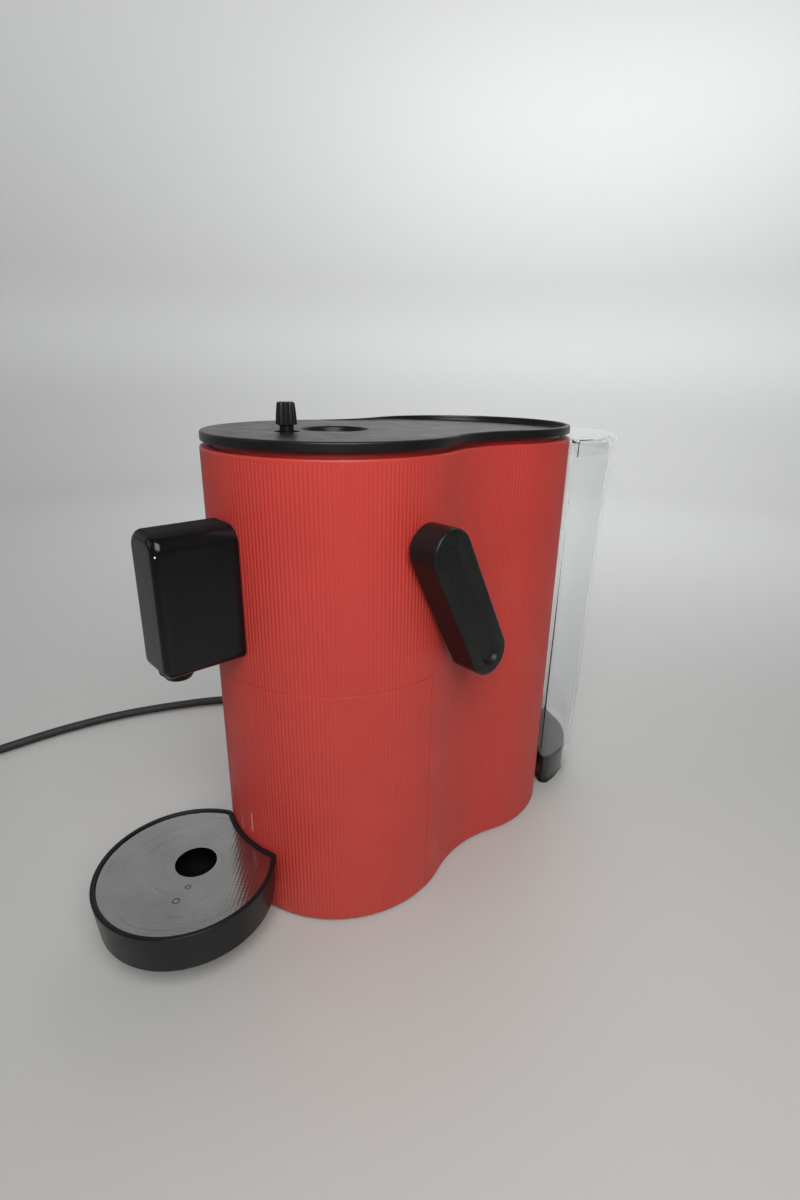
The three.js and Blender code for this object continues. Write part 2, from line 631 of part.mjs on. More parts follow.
function piston() {
  const headBack = CARRIAGE_Y - GAP;
  const stemBack = 58;
  const profile = [[BORE_R, 0.5], [20, 0.5], [20, headBack], [STEM_R, headBack], [STEM_R, stemBack],
    [BORE_R, stemBack], [BORE_R, 0.5]];
  const shape = turned(profile, 32).rotateX(-Math.PI / 2).translate(0, 0, BREW_Z);
  return cut(shape, ball);
}
piece('brew_piston', piston(), DARK_GREY);
piece('piston_seal', hoop(20.3, 22, 2, 5, 32).rotateX(-Math.PI / 2).translate(0, 0, BREW_Z), RUBBER);

function portShutter() {
  const plate = box(-SHUTTER_HALF_W, -PORT_R - 1.8, SHUTTER_BOTTOM, SHUTTER_HALF_W, CARRIAGE_BACK,
    SHUTTER_TOP);
  const dish = rod(PORT_R + 1, SHUTTER_TOP - SHUTTER_DISH, SHUTTER_TOP + PAST, 36);
  return cut(plate, dish);
}
piece('port_shutter', portShutter(), BLACK);

// ---- knob: it turns on a stem that can be pressed -----------------------------------

const KNOB_LOW = 274; // bottom of the fluted grip
const KNOB_TOP = 283.9;
const KNOB_STEM_R = 2.6;
piece('knob_stem', rod(KNOB_STEM_R, 252, KNOB_LOW + 0.5, 16).translate(0, KNOB_Y, 0), STEEL);

function knob() {
  const FLUTES = 16;
  const FLUTE_DEPTH = 0.45;
  const section = (radius) => Array.from({ length: FLUTES * 4 }, (_, i) => {
    const angle = (360 * i) / (FLUTES * 4);
    return arc(0, 0, radius - (i % 4 < 2 ? 0 : FLUTE_DEPTH), angle, angle, 1)[0];
  });
  const grip = loft([
    { outline: section(5.4), z: KNOB_LOW },
    { outline: section(4.5), z: KNOB_TOP - 0.6 },
    { outline: section(3.9), z: KNOB_TOP },
  ]);
  const collar = rod(4.9, LID_TOP - 2.5, KNOB_LOW + 0.1, 32);
  const stemHole = rod(KNOB_STEM_R + GAP, 260, KNOB_LOW + 1, 16);
  return cut(joined(grip, collar), stemHole).translate(0, KNOB_Y, 0);
}
piece('knob', knob(), BLACK);

// ---- used-pod container: the lower half of the front lobe ---------------------------

function containerFront() {
  const outer = prism(bodyOutline(0), BASE_BOTTOM, SEAM_Z - 2 * GAP, [bodyOutline(WALL)]);
  const rearPart = box(-90, DRAWER_SPLIT_Y - GAP, 0, 90, 200, 200);
  return cut(outer, rearPart);
}
piece('container_front', containerFront(), RED);

// The bin's plan: round in front, square behind.
const BIN_R = 63.8;
const BIN_BACK_Y = 30;
const BIN_WALL = 2;
function binOutline(inset) {
  const radius = BIN_R - inset;
  const turn = THREE.MathUtils.radToDeg(Math.asin((BIN_BACK_Y - inset) / radius));
  return arc(0, 0, radius, 180 - turn, 360 + turn, 40);
}

function containerBin() {
  const outer = prism(binOutline(0), BASE_TOP + GAP, SEAM_Z - 2);
  return cut(outer, prism(binOutline(BIN_WALL), BASE_TOP + GAP + BIN_WALL, SEAM_Z));
}
piece('container_bin', containerBin(), BLACK);

// A bent steel plate behind the front, for the tray's magnet to hold on to.
const keeper = prism([...arc(0, 0, FRONT_R - WALL - 0.5, 250, 290, 8),
  ...arc(0, 0, BIN_R + 0.4, 290, 250, 8)], 10, 125);
piece('keeper_plate', keeper, STEEL);

// ---- drip tray -----------------------------------------------------------------------

const TRAY_PLATE_Z = TRAY_TOP - 2.2;
const TRAY_WALL = 2.5;
const TRAY_BACK = 4.5; // thickness of the hollow back that hugs the body

function trayBowl() {
  const rimR = TRAY_TOP_R - TRAY_WALL;
  const skin = [[0, TRAY_BOTTOM], [TRAY_BOTTOM_R - 1, TRAY_BOTTOM], [TRAY_BOTTOM_R, TRAY_BOTTOM + 1],
    [TRAY_TOP_R, TRAY_TOP - 0.5], [TRAY_TOP_R - 0.5, TRAY_TOP]];
  const bowl = [...skin, [rimR, TRAY_TOP], [rimR, TRAY_PLATE_Z - GAP], [rimR - 2, TRAY_PLATE_Z - GAP],
    [rimR - 3, TRAY_BOTTOM + 2.5], [0, TRAY_BOTTOM + 2.5]];
  const place = (profile) => solid(turned(profile, 56).translate(0, TRAY_Y, 0));
  const above = TRAY_TOP + 18;
  const bodySpace = solid(rod(FRONT_R + GAP, 0, above, 72));
  const backWall = solid(rod(FRONT_R + TRAY_BACK, 0, above, 72))
    .intersect(place([...skin, [0, TRAY_TOP]]));
  const pocket = solid(magnet(GAP, TRAY_BOTTOM - 1));
  return place(bowl).add(backWall).subtract(bodySpace).subtract(pocket);
}

// The magnet stands in a slot under the tray's back wall.
const MAGNET = { halfWidth: 9, thick: 1.5, back: -FRONT_R - 1.6, top: 37 };
function magnet(play, low) {
  const { halfWidth, thick, back, top } = MAGNET;
  return box(-halfWidth - play, back - thick - play, low, halfWidth + play, back + play, top + play);
}
piece('tray_bowl', trayBowl(), BLACK);
piece('tray_magnet', magnet(0, TRAY_BOTTOM + 0.5), STEEL);

const DRAIN_R = 11.2;
const DRAIN_Y = -101.6;
const PLATE_THICK = 1.2;
function trayPlate() {
  const disc = rod(TRAY_TOP_R - TRAY_WALL - GAP, TRAY_PLATE_Z, TRAY_PLATE_Z + PLATE_THICK, 56);
  return cut(disc.translate(0, TRAY_Y, 0), rod(FRONT_R + TRAY_BACK + GAP, 0, ABOVE, 72),
    rod(DRAIN_R, 0, ABOVE, 32).translate(0, DRAIN_Y, 0));
}
piece('tray_plate', trayPlate(), STEEL);

// ---- water tank --------------------------------------------------------------------------

// The tank's outer radius at height z; it narrows downwards.
function tankRadius(z) {
  const share = (z - TANK_BOTTOM) / (TANK_TOP - TANK_BOTTOM);
  return TANK_BOTTOM_R + (TANK_TOP_R - TANK_BOTTOM_R) * share;
}

const TANK_CORNER_R = 5;
const VALVE_HOLE_R = 7;
const FLOOR_TOP = TANK_FLOOR + 2.6;

function tankSection(z, inset) {
  const outline = tankOutline(tankRadius(z) - inset, TANK_LOBE_R + inset, TANK_CORNER_R - inset);
  return { outline, z };
}

function tankBody() {
  const outer = loft([tankSection(TANK_BOTTOM, 0), tankSection(TANK_TOP, 0)]);
  const inside = loft([tankSection(FLOOR_TOP, TANK_WALL), tankSection(TANK_TOP + 1, TANK_WALL)]);
  const skirt = loft([tankSection(TANK_BOTTOM - 1, TANK_WALL), tankSection(TANK_FLOOR, TANK_WALL)]);
  const hoseNotch = box(-7, 165, 0, 7, 180, HOSE_Z + 6);
  return cut(outer, inside, skirt, hoseNotch, rod(VALVE_HOLE_R, 0, 60, 20).translate(0, INLET_Y, 0));
}
piece('tank_body', tankBody(), CLEAR);
const VALVE = { discR: 8.6, stemR: 2, guideR: 9.2, guideOuterR: 11.6 };
const valveGuide = hoop(VALVE.guideR, VALVE.guideOuterR, FLOOR_TOP + GAP, FLOOR_TOP + 9, 24);
piece('valve_guide', valveGuide.translate(0, INLET_Y, 0), DARK_GREY);
const plungerProfile = [[0, FLOOR_TOP + GAP], [VALVE.discR, FLOOR_TOP + GAP],
  [VALVE.discR, FLOOR_TOP + 2.4], [VALVE.stemR, FLOOR_TOP + 2.4], [VALVE.stemR, FLOOR_TOP + 12],
  [0, FLOOR_TOP + 12]];
piece('valve_plunger', turned(plungerProfile, 24).translate(0, INLET_Y, 0), BLACK);

const FLANGE_Z = TANK_TOP + GAP;
const FLANGE_R = TANK_TOP_R + 2.2;
const PLUG_DEPTH = 9; // how far the lid's inner wall reaches into the tank
function tankLid() {
  const flangeOutline = (radius) => tankOutline(radius, TANK_LOBE_R, 4);
  const flange = loft([
    { outline: flangeOutline(FLANGE_R - 0.6), z: FLANGE_Z },
    { outline: flangeOutline(FLANGE_R), z: FLANGE_Z + 0.8 },
    { outline: flangeOutline(FLANGE_R), z: FLANGE_Z + 1.9 },
    { outline: flangeOutline(FLANGE_R - 0.6), z: FLANGE_Z + 2.3 },
  ]);
  const plugBottom = TANK_TOP - PLUG_DEPTH;
  const plugOutline = (inset) => tankSection(plugBottom, TANK_WALL + inset).outline;
  const plug = prism(plugOutline(0.6), plugBottom, FLANGE_Z + 0.1);
  const hollow = prism(plugOutline(2.8), plugBottom - 1, FLANGE_Z);
  return cut(joined(flange, plug), hollow);
}
piece('tank_lid', tankLid(), CLEAR);

// Pedestal under the tank, open below.
const PEDESTAL_R = 57.2;
const PEDESTAL_TOP = TANK_FLOOR - 2;
function pedestal() {
  const plan = (inset) => tankOutline(PEDESTAL_R - inset, TANK_LOBE_R + WALL + inset, 4.5 - inset);
  const outer = loft([
    { outline: plan(0), z: 0 },
    { outline: plan(0), z: PEDESTAL_TOP - 1 },
    { outline: plan(0.8), z: PEDESTAL_TOP },
  ]);
  const inside = prism(plan(2.4), -1, PEDESTAL_TOP - 2.4);
  return cut(outer, inside, hoseHole(), rod(SPIGOT.r + 0.4, 10, 40, 20).translate(0, INLET_Y, 0));
}
const SPIGOT = { bore: 2.6, r: 5, flangeR: 8, low: 10, shoulder: 20 };
piece('tank_pedestal', pedestal(), BLACK);
const spigotProfile = [[SPIGOT.bore, SPIGOT.low], [SPIGOT.flangeR, SPIGOT.low],
  [SPIGOT.flangeR, SPIGOT.shoulder], [SPIGOT.r, SPIGOT.shoulder], [SPIGOT.r, FLOOR_TOP],
  [SPIGOT.bore, FLOOR_TOP], [SPIGOT.bore, SPIGOT.low]];
piece('inlet_spigot', turned(spigotProfile, 24).translate(0, INLET_Y, 0), DARK_GREY);
const inletSeal = hoop(SPIGOT.r + 0.4, 9.4, PEDESTAL_TOP + GAP, TANK_FLOOR - GAP, 24);
piece('inlet_seal', inletSeal.translate(0, INLET_Y, 0), RUBBER);

// ---- mains lead --------------------------------------------------------------------------------

const GLAND_X = -REAR_R - GAP;
const GLAND_END = GLAND_X - 30;
const glandProfile = [[0, -62], [GLAND_NECK_R, -62], [GLAND_NECK_R, GLAND_X], [9, GLAND_X],
  [9, GLAND_X - 3], [6.4, GLAND_X - 4], [4.6, GLAND_END], [0, GLAND_END]].map(([r, x]) => [r, -x]);
piece('cord_gland', alongX(turned(glandProfile, 20)).rotateZ(Math.PI)
  .translate(0, LOBE_SPACING, GLAND_Z), RUBBER);

const FLOOR_Z = CORD_R + 0.3;
const cordRoute = [
  [GLAND_END - 2 * GAP, LOBE_SPACING, GLAND_Z], [-112, 102.6, 11.5], [-130, 100, 6.5], [-150, 94, FLOOR_Z],
  [-176, 79, FLOOR_Z], [-198, 58, FLOOR_Z], [-214, 38, FLOOR_Z], [-226, 19, FLOOR_Z],
  [-238, -6, FLOOR_Z], [-248, -31, FLOOR_Z], [-256, -56, FLOOR_Z], [-261, -82, FLOOR_Z],
  [-264, -110, FLOOR_Z], [-264.6, -140, FLOOR_Z], [-264.6, -165, FLOOR_Z], [-264.6, -189, FLOOR_Z],
];
piece('power_cord', pipe(cordRoute, CORD_R, 26, 8), RUBBER);

const COIL = { x: -222.4, y: -214, inner: 31.4, outer: 45.9, top: 14 };
piece('cord_coil', hoop(COIL.inner, COIL.outer, 0.1, COIL.top, 40).translate(COIL.x, COIL.y, 0), RUBBER);

// The lead leaves the coil's top turn along its front edge and enters the plug there.
const PLUG = { x: -191.4, y: COIL.y - 38.7, z: 10, length: 42, halfWidth: 13, halfHeight: 9.9 };
function plugSection(x, halfWidth, halfHeight, cornerR) {
  const outline = roundedRectangle(-halfHeight, -halfWidth, halfHeight, halfWidth, cornerR, cornerR, 4);
  return { outline, z: x };
}
const plugSkin = loft([
  plugSection(0, 4.4, 4.4, 4.3),
  plugSection(12, 5.4, 5.4, 5.2),
  plugSection(15, PLUG.halfWidth - 4, PLUG.halfHeight - 2, 5),
  plugSection(20, PLUG.halfWidth, PLUG.halfHeight, 5),
  plugSection(PLUG.length, PLUG.halfWidth - 0.6, PLUG.halfHeight, 5),
]);
const cordSocket = rod(CORD_R + GAP, -1, 8, 16);
const PIN_SPACING = 19;
const pinHoles = [-1, 1].map((side) => rod(2.3, PLUG.length - 6, PLUG.length + 1, 12)
  .translate(0, (side * PIN_SPACING) / 2, 0));
piece('plug_body', geometryOf(cut(plugSkin, cordSocket, ...pinHoles)), RUBBER)
  .geometry.rotateY(Math.PI / 2).translate(PLUG.x, PLUG.y, PLUG.z);
for (const [name, side] of [['plug_pin_left', -1], ['plug_pin_right', 1]]) {
  const pin = alongX(rod(2, PLUG.length - 5.5, PLUG.length + 19, 12));
  piece(name, pin.translate(PLUG.x, PLUG.y + (side * PIN_SPACING) / 2, PLUG.z), BRASS);
}

export default machine;
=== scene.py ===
import json
import math

import bpy
import bmesh
from mathutils import Matrix, Vector


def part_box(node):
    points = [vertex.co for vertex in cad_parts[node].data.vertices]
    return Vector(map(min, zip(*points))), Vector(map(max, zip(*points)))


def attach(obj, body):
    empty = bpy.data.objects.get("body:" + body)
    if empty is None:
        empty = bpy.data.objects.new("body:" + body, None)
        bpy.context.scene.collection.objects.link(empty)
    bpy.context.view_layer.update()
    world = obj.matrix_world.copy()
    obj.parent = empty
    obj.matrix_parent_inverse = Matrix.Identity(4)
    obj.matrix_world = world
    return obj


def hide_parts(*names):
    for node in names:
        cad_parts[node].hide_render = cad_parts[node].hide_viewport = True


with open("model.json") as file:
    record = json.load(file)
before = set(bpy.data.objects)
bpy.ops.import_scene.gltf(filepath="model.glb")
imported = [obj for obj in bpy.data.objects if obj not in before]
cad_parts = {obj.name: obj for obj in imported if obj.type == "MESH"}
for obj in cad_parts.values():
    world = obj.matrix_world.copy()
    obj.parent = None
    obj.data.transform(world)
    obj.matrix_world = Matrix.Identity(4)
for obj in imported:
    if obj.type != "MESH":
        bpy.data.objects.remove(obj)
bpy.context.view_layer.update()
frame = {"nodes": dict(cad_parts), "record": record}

MM = 0.001

# ---- driving dimensions, in millimetres ----

GAP = 0.3
WALL = 2.4
FRONT_R = 70
REAR_R = 67
LOBE_SPACING = 103
NECK_R = 78.4
TRAY_Y = -107.2
HEAD_TOP = 229.9

RIB_PITCH = 2.14
RIB_DEPTH = 0.29
RIB_STEPS = 6

# ---- small helpers ----


def heights(node):
    """The heights of a CAD node's lowest and highest points, in millimetres."""
    return [corner.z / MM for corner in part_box(node)]


def corners_of(node):
    """The lowest and highest corner of the box round a CAD node, in millimetres."""
    return [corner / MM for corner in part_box(node)]


def arc(x, y, radius, start, end, steps):
    """Points along an arc, angles in degrees, both ends included."""
    turns = [math.radians(start + (end - start) * i / steps) for i in range(steps + 1)]
    return [(x + radius * math.cos(t), y + radius * math.sin(t)) for t in turns]


def circle(radius, steps):
    """Points round a circle about (0, 0)."""
    return arc(0, 0, radius, 0, 360, steps)[:-1]


def link(name, data):
    """A new object in the scene that holds the data."""
    piece = bpy.data.objects.new(name, data)
    bpy.context.scene.collection.objects.link(piece)
    return piece


# ---- camera, floor and light ----


def add_camera():
    """The photograph's viewpoint: right of the front, about 20 degrees above the horizon."""
    place = Vector((0.27654, -0.20818, 0.29733))
    heading, down, roll = 2.3907, 0.3472, 0.0161
    level = Vector((math.cos(heading), math.sin(heading), 0))
    forward = level * math.cos(down) - Vector((0, 0, math.sin(down)))
    right = Vector((math.sin(heading), -math.cos(heading), 0))
    up = right.cross(forward)
    turned_right = right * math.cos(roll) + up * math.sin(roll)
    turned_up = up * math.cos(roll) - right * math.sin(roll)
    data = bpy.data.cameras.new("camera")
    data.sensor_width = 36
    data.lens = 18.68
    data.clip_start = 0.01
    camera = link("camera", data)
    turn = Matrix((turned_right, turned_up, -forward)).transposed().to_4x4()
    camera.matrix_world = Matrix.Translation(place) @ turn
    bpy.context.scene.camera = camera


def add_floor():
    """A round pale floor that curves up into a wall, well away from the object; in metres."""
    middle, flat, bend, height, sides = 0.3, 1.5, 0.6, 2.7, 96
    profile = [(middle, 0)] + arc(flat, bend, bend, -90, 0, 12) + [(flat + bend, height)]
    points = [(x, y, z) for r, z in profile for x, y in circle(r, sides)]
    faces = [list(range(sides))]
    for level in range(len(profile) - 1):
        low, high = level * sides, (level + 1) * sides
        for i in range(sides):
            after = (i + 1) % sides
            faces.append([low + i, high + i, high + after, low + after])
    mesh = bpy.data.meshes.new("floor")
    mesh.from_pydata(points, [], faces)
    mesh.shade_smooth()
    mesh.materials.append(Finish("floor_pale", (0.54, 0.54, 0.528), 0.45).material)
    floor = link("floor", mesh)


def add_light(name, place, target, size, watts, color):
    """A square area light that faces target."""
    data = bpy.data.lights.new(name, "AREA")
    data.size = size
    data.energy = watts
    data.color = color
    light = link(name, data)
    light.location = place
    light.rotation_euler = (Vector(target) - Vector(place)).to_track_quat("-Z", "Y").to_euler()


def add_studio():
    """A soft key from the right, a weak cool fill from the front, a lit wall behind, and a dim sky."""
    middle, cool = (0, 0.05, 0.17), (0.96, 0.98, 1)
    add_light("key", (0.47, -0.29, 0.62), middle, 0.5, 5.3, (1, 0.985, 0.96))
    add_light("fill", (-0.55, -1.35, 0.75), middle, 0.7, 1.5, (0.75, 0.85, 1))
    add_light("low_wash", (-0.35, 0.95, 1.2), (-0.85, 1.6, 0.1), 1.0, 14, cool)
    add_light("high_wash", (-0.3, 0.35, 2.0), (-2.0, 0.9, 1.6), 1.2, 23, cool)
    world = bpy.data.worlds.new("sky")
    world.use_nodes = True
    sky = world.node_tree.nodes["Background"]
    sky.inputs["Color"].default_value = (0.93, 0.96, 1, 1)
    sky.inputs["Strength"].default_value = 0.09
    bpy.context.scene.world = world
    bpy.context.scene.view_settings.view_transform = "Standard"


# ---- materials: one function for each of the record's slots ----

# The Mix node's colour inputs and output share their names with its others, so they go by number.
MIX_A, MIX_B, MIX_RESULT = 6, 7, 2


class Finish:
    """A slot's material: one Principled shader, with textures laid out in the piece's coordinates."""

    def __init__(self, name, color, roughness, **values):
        self.material = bpy.data.materials.new(name)
        self.material.use_nodes = True
        self.nodes = self.material.node_tree.nodes
        self.links = self.material.node_tree.links
        self.shader = self.nodes["Principled BSDF"]
        self.put("Base Color", (*color, 1))
        self.put("Roughness", roughness)
        for socket, value in values.items():
            self.put(socket.replace("_", " "), value)
        self.place = self.add("ShaderNodeTexCoord", "Object")

    def feed(self, socket, value):
        """Sets a socket to a value, or links an output to it."""
        if isinstance(value, bpy.types.NodeSocket):
            self.links.new(value, socket)
        else:
            socket.default_value = value

    def put(self, socket, value):
        """Sets a value on the shader, or links an output to it."""
        self.feed(self.shader.inputs[socket], value)

    def add(self, kind, output, inputs=None, **settings):
        """Adds a node with these settings and inputs, and returns one of its outputs."""
        node = self.nodes.new(kind)
        for name, value in settings.items():
            setattr(node, name, value)
        for socket, value in (inputs or {}).items():
            self.feed(node.inputs[socket], value)
        return node.outputs[output]

    @property
    def color(self):
        """The output that colours the shader so far."""
        return self.shader.inputs["Base Color"].links[0].from_socket

    def scaled(self, size, stretch=(1, 1, 1)):
        """The piece's coordinates in units of size millimetres, stretched along its axes."""
        scale = [1 / (size * MM * s) for s in stretch]
        return self.add("ShaderNodeMapping", "Vector", {"Vector": self.place, "Scale": scale})

    def noise(self, size, detail, stretch=(1, 1, 1), distortion=0):
        """Cloudy noise with features about size millimetres across."""
        return self.add("ShaderNodeTexNoise", "Fac", {
            "Vector": self.scaled(size, stretch), "Scale": 1, "Detail": detail, "Distortion": distortion})

    def cells(self, size, feature="F1"):
        """Distances in a pattern of cells about size millimetres across."""
        inputs = {"Vector": self.scaled(size), "Scale": 1}
        return self.add("ShaderNodeTexVoronoi", "Distance", inputs, feature=feature)

    def rings(self, size, x, y):
        """Slightly wavy rings about an upright axis through (x, y), size millimetres apart."""
        moved = self.add("ShaderNodeMapping", "Vector", {
            "Vector": self.place, "Location": (-x * MM, -y * MM, 0)})
        inputs = {"Vector": moved, "Scale": math.pi / (10 * size * MM), "Distortion": 1.5}
        return self.add("ShaderNodeTexWave", "Fac", inputs, wave_type="RINGS", rings_direction="Z")

    def axis(self, name):
        """The piece's X, Y or Z, in metres."""
        return self.add("ShaderNodeSeparateXYZ", name, {"Vector": self.place})

    def span(self, value, low, high, to_low=0, to_high=1):
        """value from low to high, mapped to the other range and held at its ends."""
        return self.add("ShaderNodeMapRange", "Result", {
            "Value": value, "From Min": low, "From Max": high, "To Min": to_low, "To Max": to_high})

    def sum(self, operation, a, b):
        """A sum of two numbers or outputs: ADD, MULTIPLY, MAXIMUM and so on."""
        return self.add("ShaderNodeMath", "Value", {0: a, 1: b}, operation=operation)

    def both(self, a, b):
        """The product of two shares: 1 where both are 1."""
        return self.sum("MULTIPLY", a, b)

    def clouds(self, size, detail, low=0.3, high=0.7):
        """Noise spread out to run from 0 to 1."""
        return self.span(self.noise(size, detail), low, high)

    def within(self, value, low, high, soft):
        """1 between two heights or widths in millimetres, 0 beyond them."""
        rise = self.span(value, (low - soft) * MM, low * MM)
        return self.both(rise, self.span(value, high * MM, (high + soft) * MM, 1, 0))

    def drop_mark(self, x, y, z, radius):
        """The dark ring, half a millimetre wide, that a drop leaves when it dries."""
        place = (x * MM, y * MM, z * MM)
        away = self.add("ShaderNodeVectorMath", "Value", {0: self.place, 1: place}, operation="DISTANCE")
        return self.within(away, radius - 0.5, radius, 0.25)

    def edges(self, low, high):
        """0 on flats and in grooves, 1 on worn outer edges."""
        return self.span(self.add("ShaderNodeNewGeometry", "Pointiness"), low, high)

    def blend(self, share, a, b):
        """From colour a to colour b."""
        a, b = (color if isinstance(color, bpy.types.NodeSocket) else (*color, 1) for color in (a, b))
        inputs = {"Factor": share, MIX_A: a, MIX_B: b}
        return self.add("ShaderNodeMix", MIX_RESULT, inputs, data_type="RGBA")

    def tint(self, share, a, b):
        """Colours the shader from colour a to colour b."""
        self.put("Base Color", self.blend(share, a, b))

    def roughen(self, smears, low, high):
        """Lets the roughness wander between two values."""
        self.put("Roughness", self.span(smears, 0.3, 0.7, low, high))

    def bump(self, height, depth, strength):
        """Raises the surface by height times depth millimetres."""
        inputs = {"Strength": strength, "Distance": depth * MM, "Height": height}
        self.put("Normal", self.add("ShaderNodeBump", "Normal", inputs))


def red_paint(name, deep, bright, rough_low, rough_high):
    """Moulded red plastic: slow colour variation, a fine grain and a few pale upright scuffs."""
    finish = Finish(name, bright, rough_high)
    color = finish.blend(finish.clouds(38, 4, 0.35, 0.65), deep, bright)
    scuffs = finish.span(finish.noise(2.2, 2, (0.35, 0.35, 26)), 0.735, 0.79, 0, 0.3)
    scuffs = finish.both(scuffs, finish.clouds(48, 2, 0.5, 0.62))
    finish.tint(scuffs, color, (0.78, 0.42, 0.38))
    finish.roughen(finish.noise(14, 5, (1, 1, 2.5)), rough_low, rough_high)
    finish.bump(finish.noise(0.3, 4), 0.012, 0.5)
    return finish


def red_ribbed():
    """The ribbed skin, with two painted highlights above the tray: pale upright streaks on rib crests."""
    finish = red_paint("red_ribbed", (0.475, 0.039, 0.03), (0.505, 0.043, 0.033), 0.37, 0.48)
    front = finish.span(finish.axis("Y"), -60 * MM, -62 * MM)
    # Two pale upright streaks on the front above the tray: painted highlights on rib crests.
    for x, low, high in ((-4.4, 44, 51), (6.8, 50, 60)):
        crest_highlight = finish.within(finish.axis("X"), x - 0.15, x + 0.15, 0.5)
        crest_highlight = finish.both(crest_highlight, finish.within(finish.axis("Z"), low, high, 2.5))
        crest_highlight = finish.both(finish.both(crest_highlight, front), 0.6)
        finish.tint(crest_highlight, finish.color, (0.72, 0.4, 0.36))
    return finish.material


def red_smooth():
    """The same plastic without ribs, a little darker and glossier."""
    return red_paint("red_smooth", (0.455, 0.036, 0.028), (0.485, 0.04, 0.031), 0.3, 0.4).material


def black_satin():
    """Fine-grained black plastic with scuffed edges, faint smears and specks of dust."""
    finish = Finish("black_satin", (0.008, 0.008, 0.0085), 0.36, Specular_IOR_Level=0.26)
    tone = finish.blend(finish.clouds(22, 4), (0.006, 0.006, 0.0063), (0.0095, 0.0095, 0.01))
    rubbed = finish.both(finish.edges(0.52, 0.62), finish.clouds(5, 4, 0.4, 0.7))
    worn = finish.blend(rubbed, tone, (0.03, 0.03, 0.031))
    dust = finish.span(finish.cells(4.6), 0.034, 0.014, 0, 0.4)
    finish.tint(dust, worn, (0.2, 0.19, 0.18))
    finish.roughen(finish.noise(11, 5), 0.3, 0.4)
    finish.bump(finish.noise(0.45, 3), 0.016, 0.5)
    return finish.material


def black_gloss():
    """Polished black plastic with hairline scratches, smears and dust, dulled on the head's top."""
    finish = Finish("black_gloss", (0.004, 0.004, 0.005), 0.12, Specular_IOR_Level=0.3)
    tone = finish.blend(finish.clouds(18, 3), (0.003, 0.003, 0.004), (0.005, 0.005, 0.0062))
    dust = finish.span(finish.cells(5.2), 0.03, 0.012, 0, 0.5)
    finish.tint(dust, tone, (0.3, 0.29, 0.28))
    hairs = finish.span(finish.noise(1.2, 2, (0.3, 0.3, 9)), 0.66, 0.72, 0, 0.12)
    smears = finish.span(finish.noise(9, 5), 0.45, 0.72, 0.15, 0.25)
    dull = finish.span(finish.axis("Z"), (HEAD_TOP - 2.5) * MM, (HEAD_TOP - 0.4) * MM, 0, 0.8)
    finish.put("Roughness", finish.sum("MAXIMUM", finish.sum("ADD", hairs, smears), dull))
    finish.bump(finish.noise(7, 2), 0.01, 0.35)
    return finish.material


def dark_plastic():
    """Plain moulded plastic of hidden parts, with flow marks and a matt grain."""
    finish = Finish("dark_plastic", (0.045, 0.045, 0.048), 0.5)
    flow = finish.span(finish.noise(16, 4, (1, 1, 3), 1.5), 0.3, 0.7)
    finish.tint(flow, (0.036, 0.036, 0.039), (0.055, 0.055, 0.058))
    finish.roughen(finish.noise(6, 4), 0.44, 0.6)
    finish.bump(finish.noise(0.6, 3), 0.03, 0.5)
    return finish.material


def clear_plastic():
    """Clear plastic with a faint cool tint, dried water marks and hairline scratches.

    It hardly refracts: a coat gives the reflections."""
    finish = Finish("clear_plastic", (0.97, 0.98, 0.98), 0.02, IOR=1.012, Transmission_Weight=1.0,
                    Coat_Weight=0.7, Coat_Roughness=0.04, Coat_IOR=1.45)
    marks = finish.span(finish.noise(24, 5, (1, 1, 1.8), 0.6), 0.55, 0.75)
    finish.tint(marks, (0.975, 0.985, 0.985), (0.955, 0.968, 0.97))
    hairs = finish.span(finish.noise(1.4, 2, (0.3, 0.3, 12)), 0.68, 0.74, 0, 0.1)
    finish.put("Roughness", finish.sum("ADD", hairs, finish.span(marks, 0, 1, 0.015, 0.07)))
    finish.bump(finish.noise(30, 2), 0.05, 0.15)
    return finish.material


def tray_steel():
    """Rolled steel, dulled by use: round rubbing marks, and dried drops of coffee."""
    finish = Finish("tray_steel", (0.42, 0.418, 0.412), 0.2, Metallic=1.0)
    steel = finish.blend(finish.clouds(20, 5), (0.375, 0.37, 0.365), (0.45, 0.447, 0.44))
    rings = finish.span(finish.rings(7.5, 0, TRAY_Y), 0.9, 1)
    rings = finish.both(rings, finish.span(finish.noise(26, 2), 0.48, 0.6, 0, 0.3))
    steel = finish.blend(rings, steel, (0.22, 0.21, 0.2))
    face = heights("tray_plate")[1]
    drops = [finish.drop_mark(x, y, face, r) for x, y, r in ((18.8, -121.6, 1.9), (14.1, -112.9, 1.5))]
    drops = finish.both(finish.sum("MAXIMUM", *drops), 0.8)
    finish.tint(drops, steel, (0.14, 0.115, 0.1))
    rubbed = finish.span(finish.noise(1.6, 4), 0.35, 0.7, 0.12, 0.2)
    finish.put("Roughness", finish.sum("ADD", rubbed, finish.span(drops, 0, 1, 0, 0.3)))
    finish.bump(finish.noise(0.7, 3), 0.008, 0.5)
    return finish.material


def plain_steel():
    """Turned and cut steel with fine marks of the tool."""
    finish = Finish("plain_steel", (0.55, 0.55, 0.54), 0.3, Metallic=1.0)
    finish.tint(finish.clouds(9, 4), (0.46, 0.46, 0.455), (0.58, 0.58, 0.57))
    finish.roughen(finish.noise(0.8, 3, (1, 1, 10)), 0.2, 0.4)
    finish.bump(finish.noise(0.4, 2, (1, 1, 10)), 0.01, 0.4)
    return finish.material


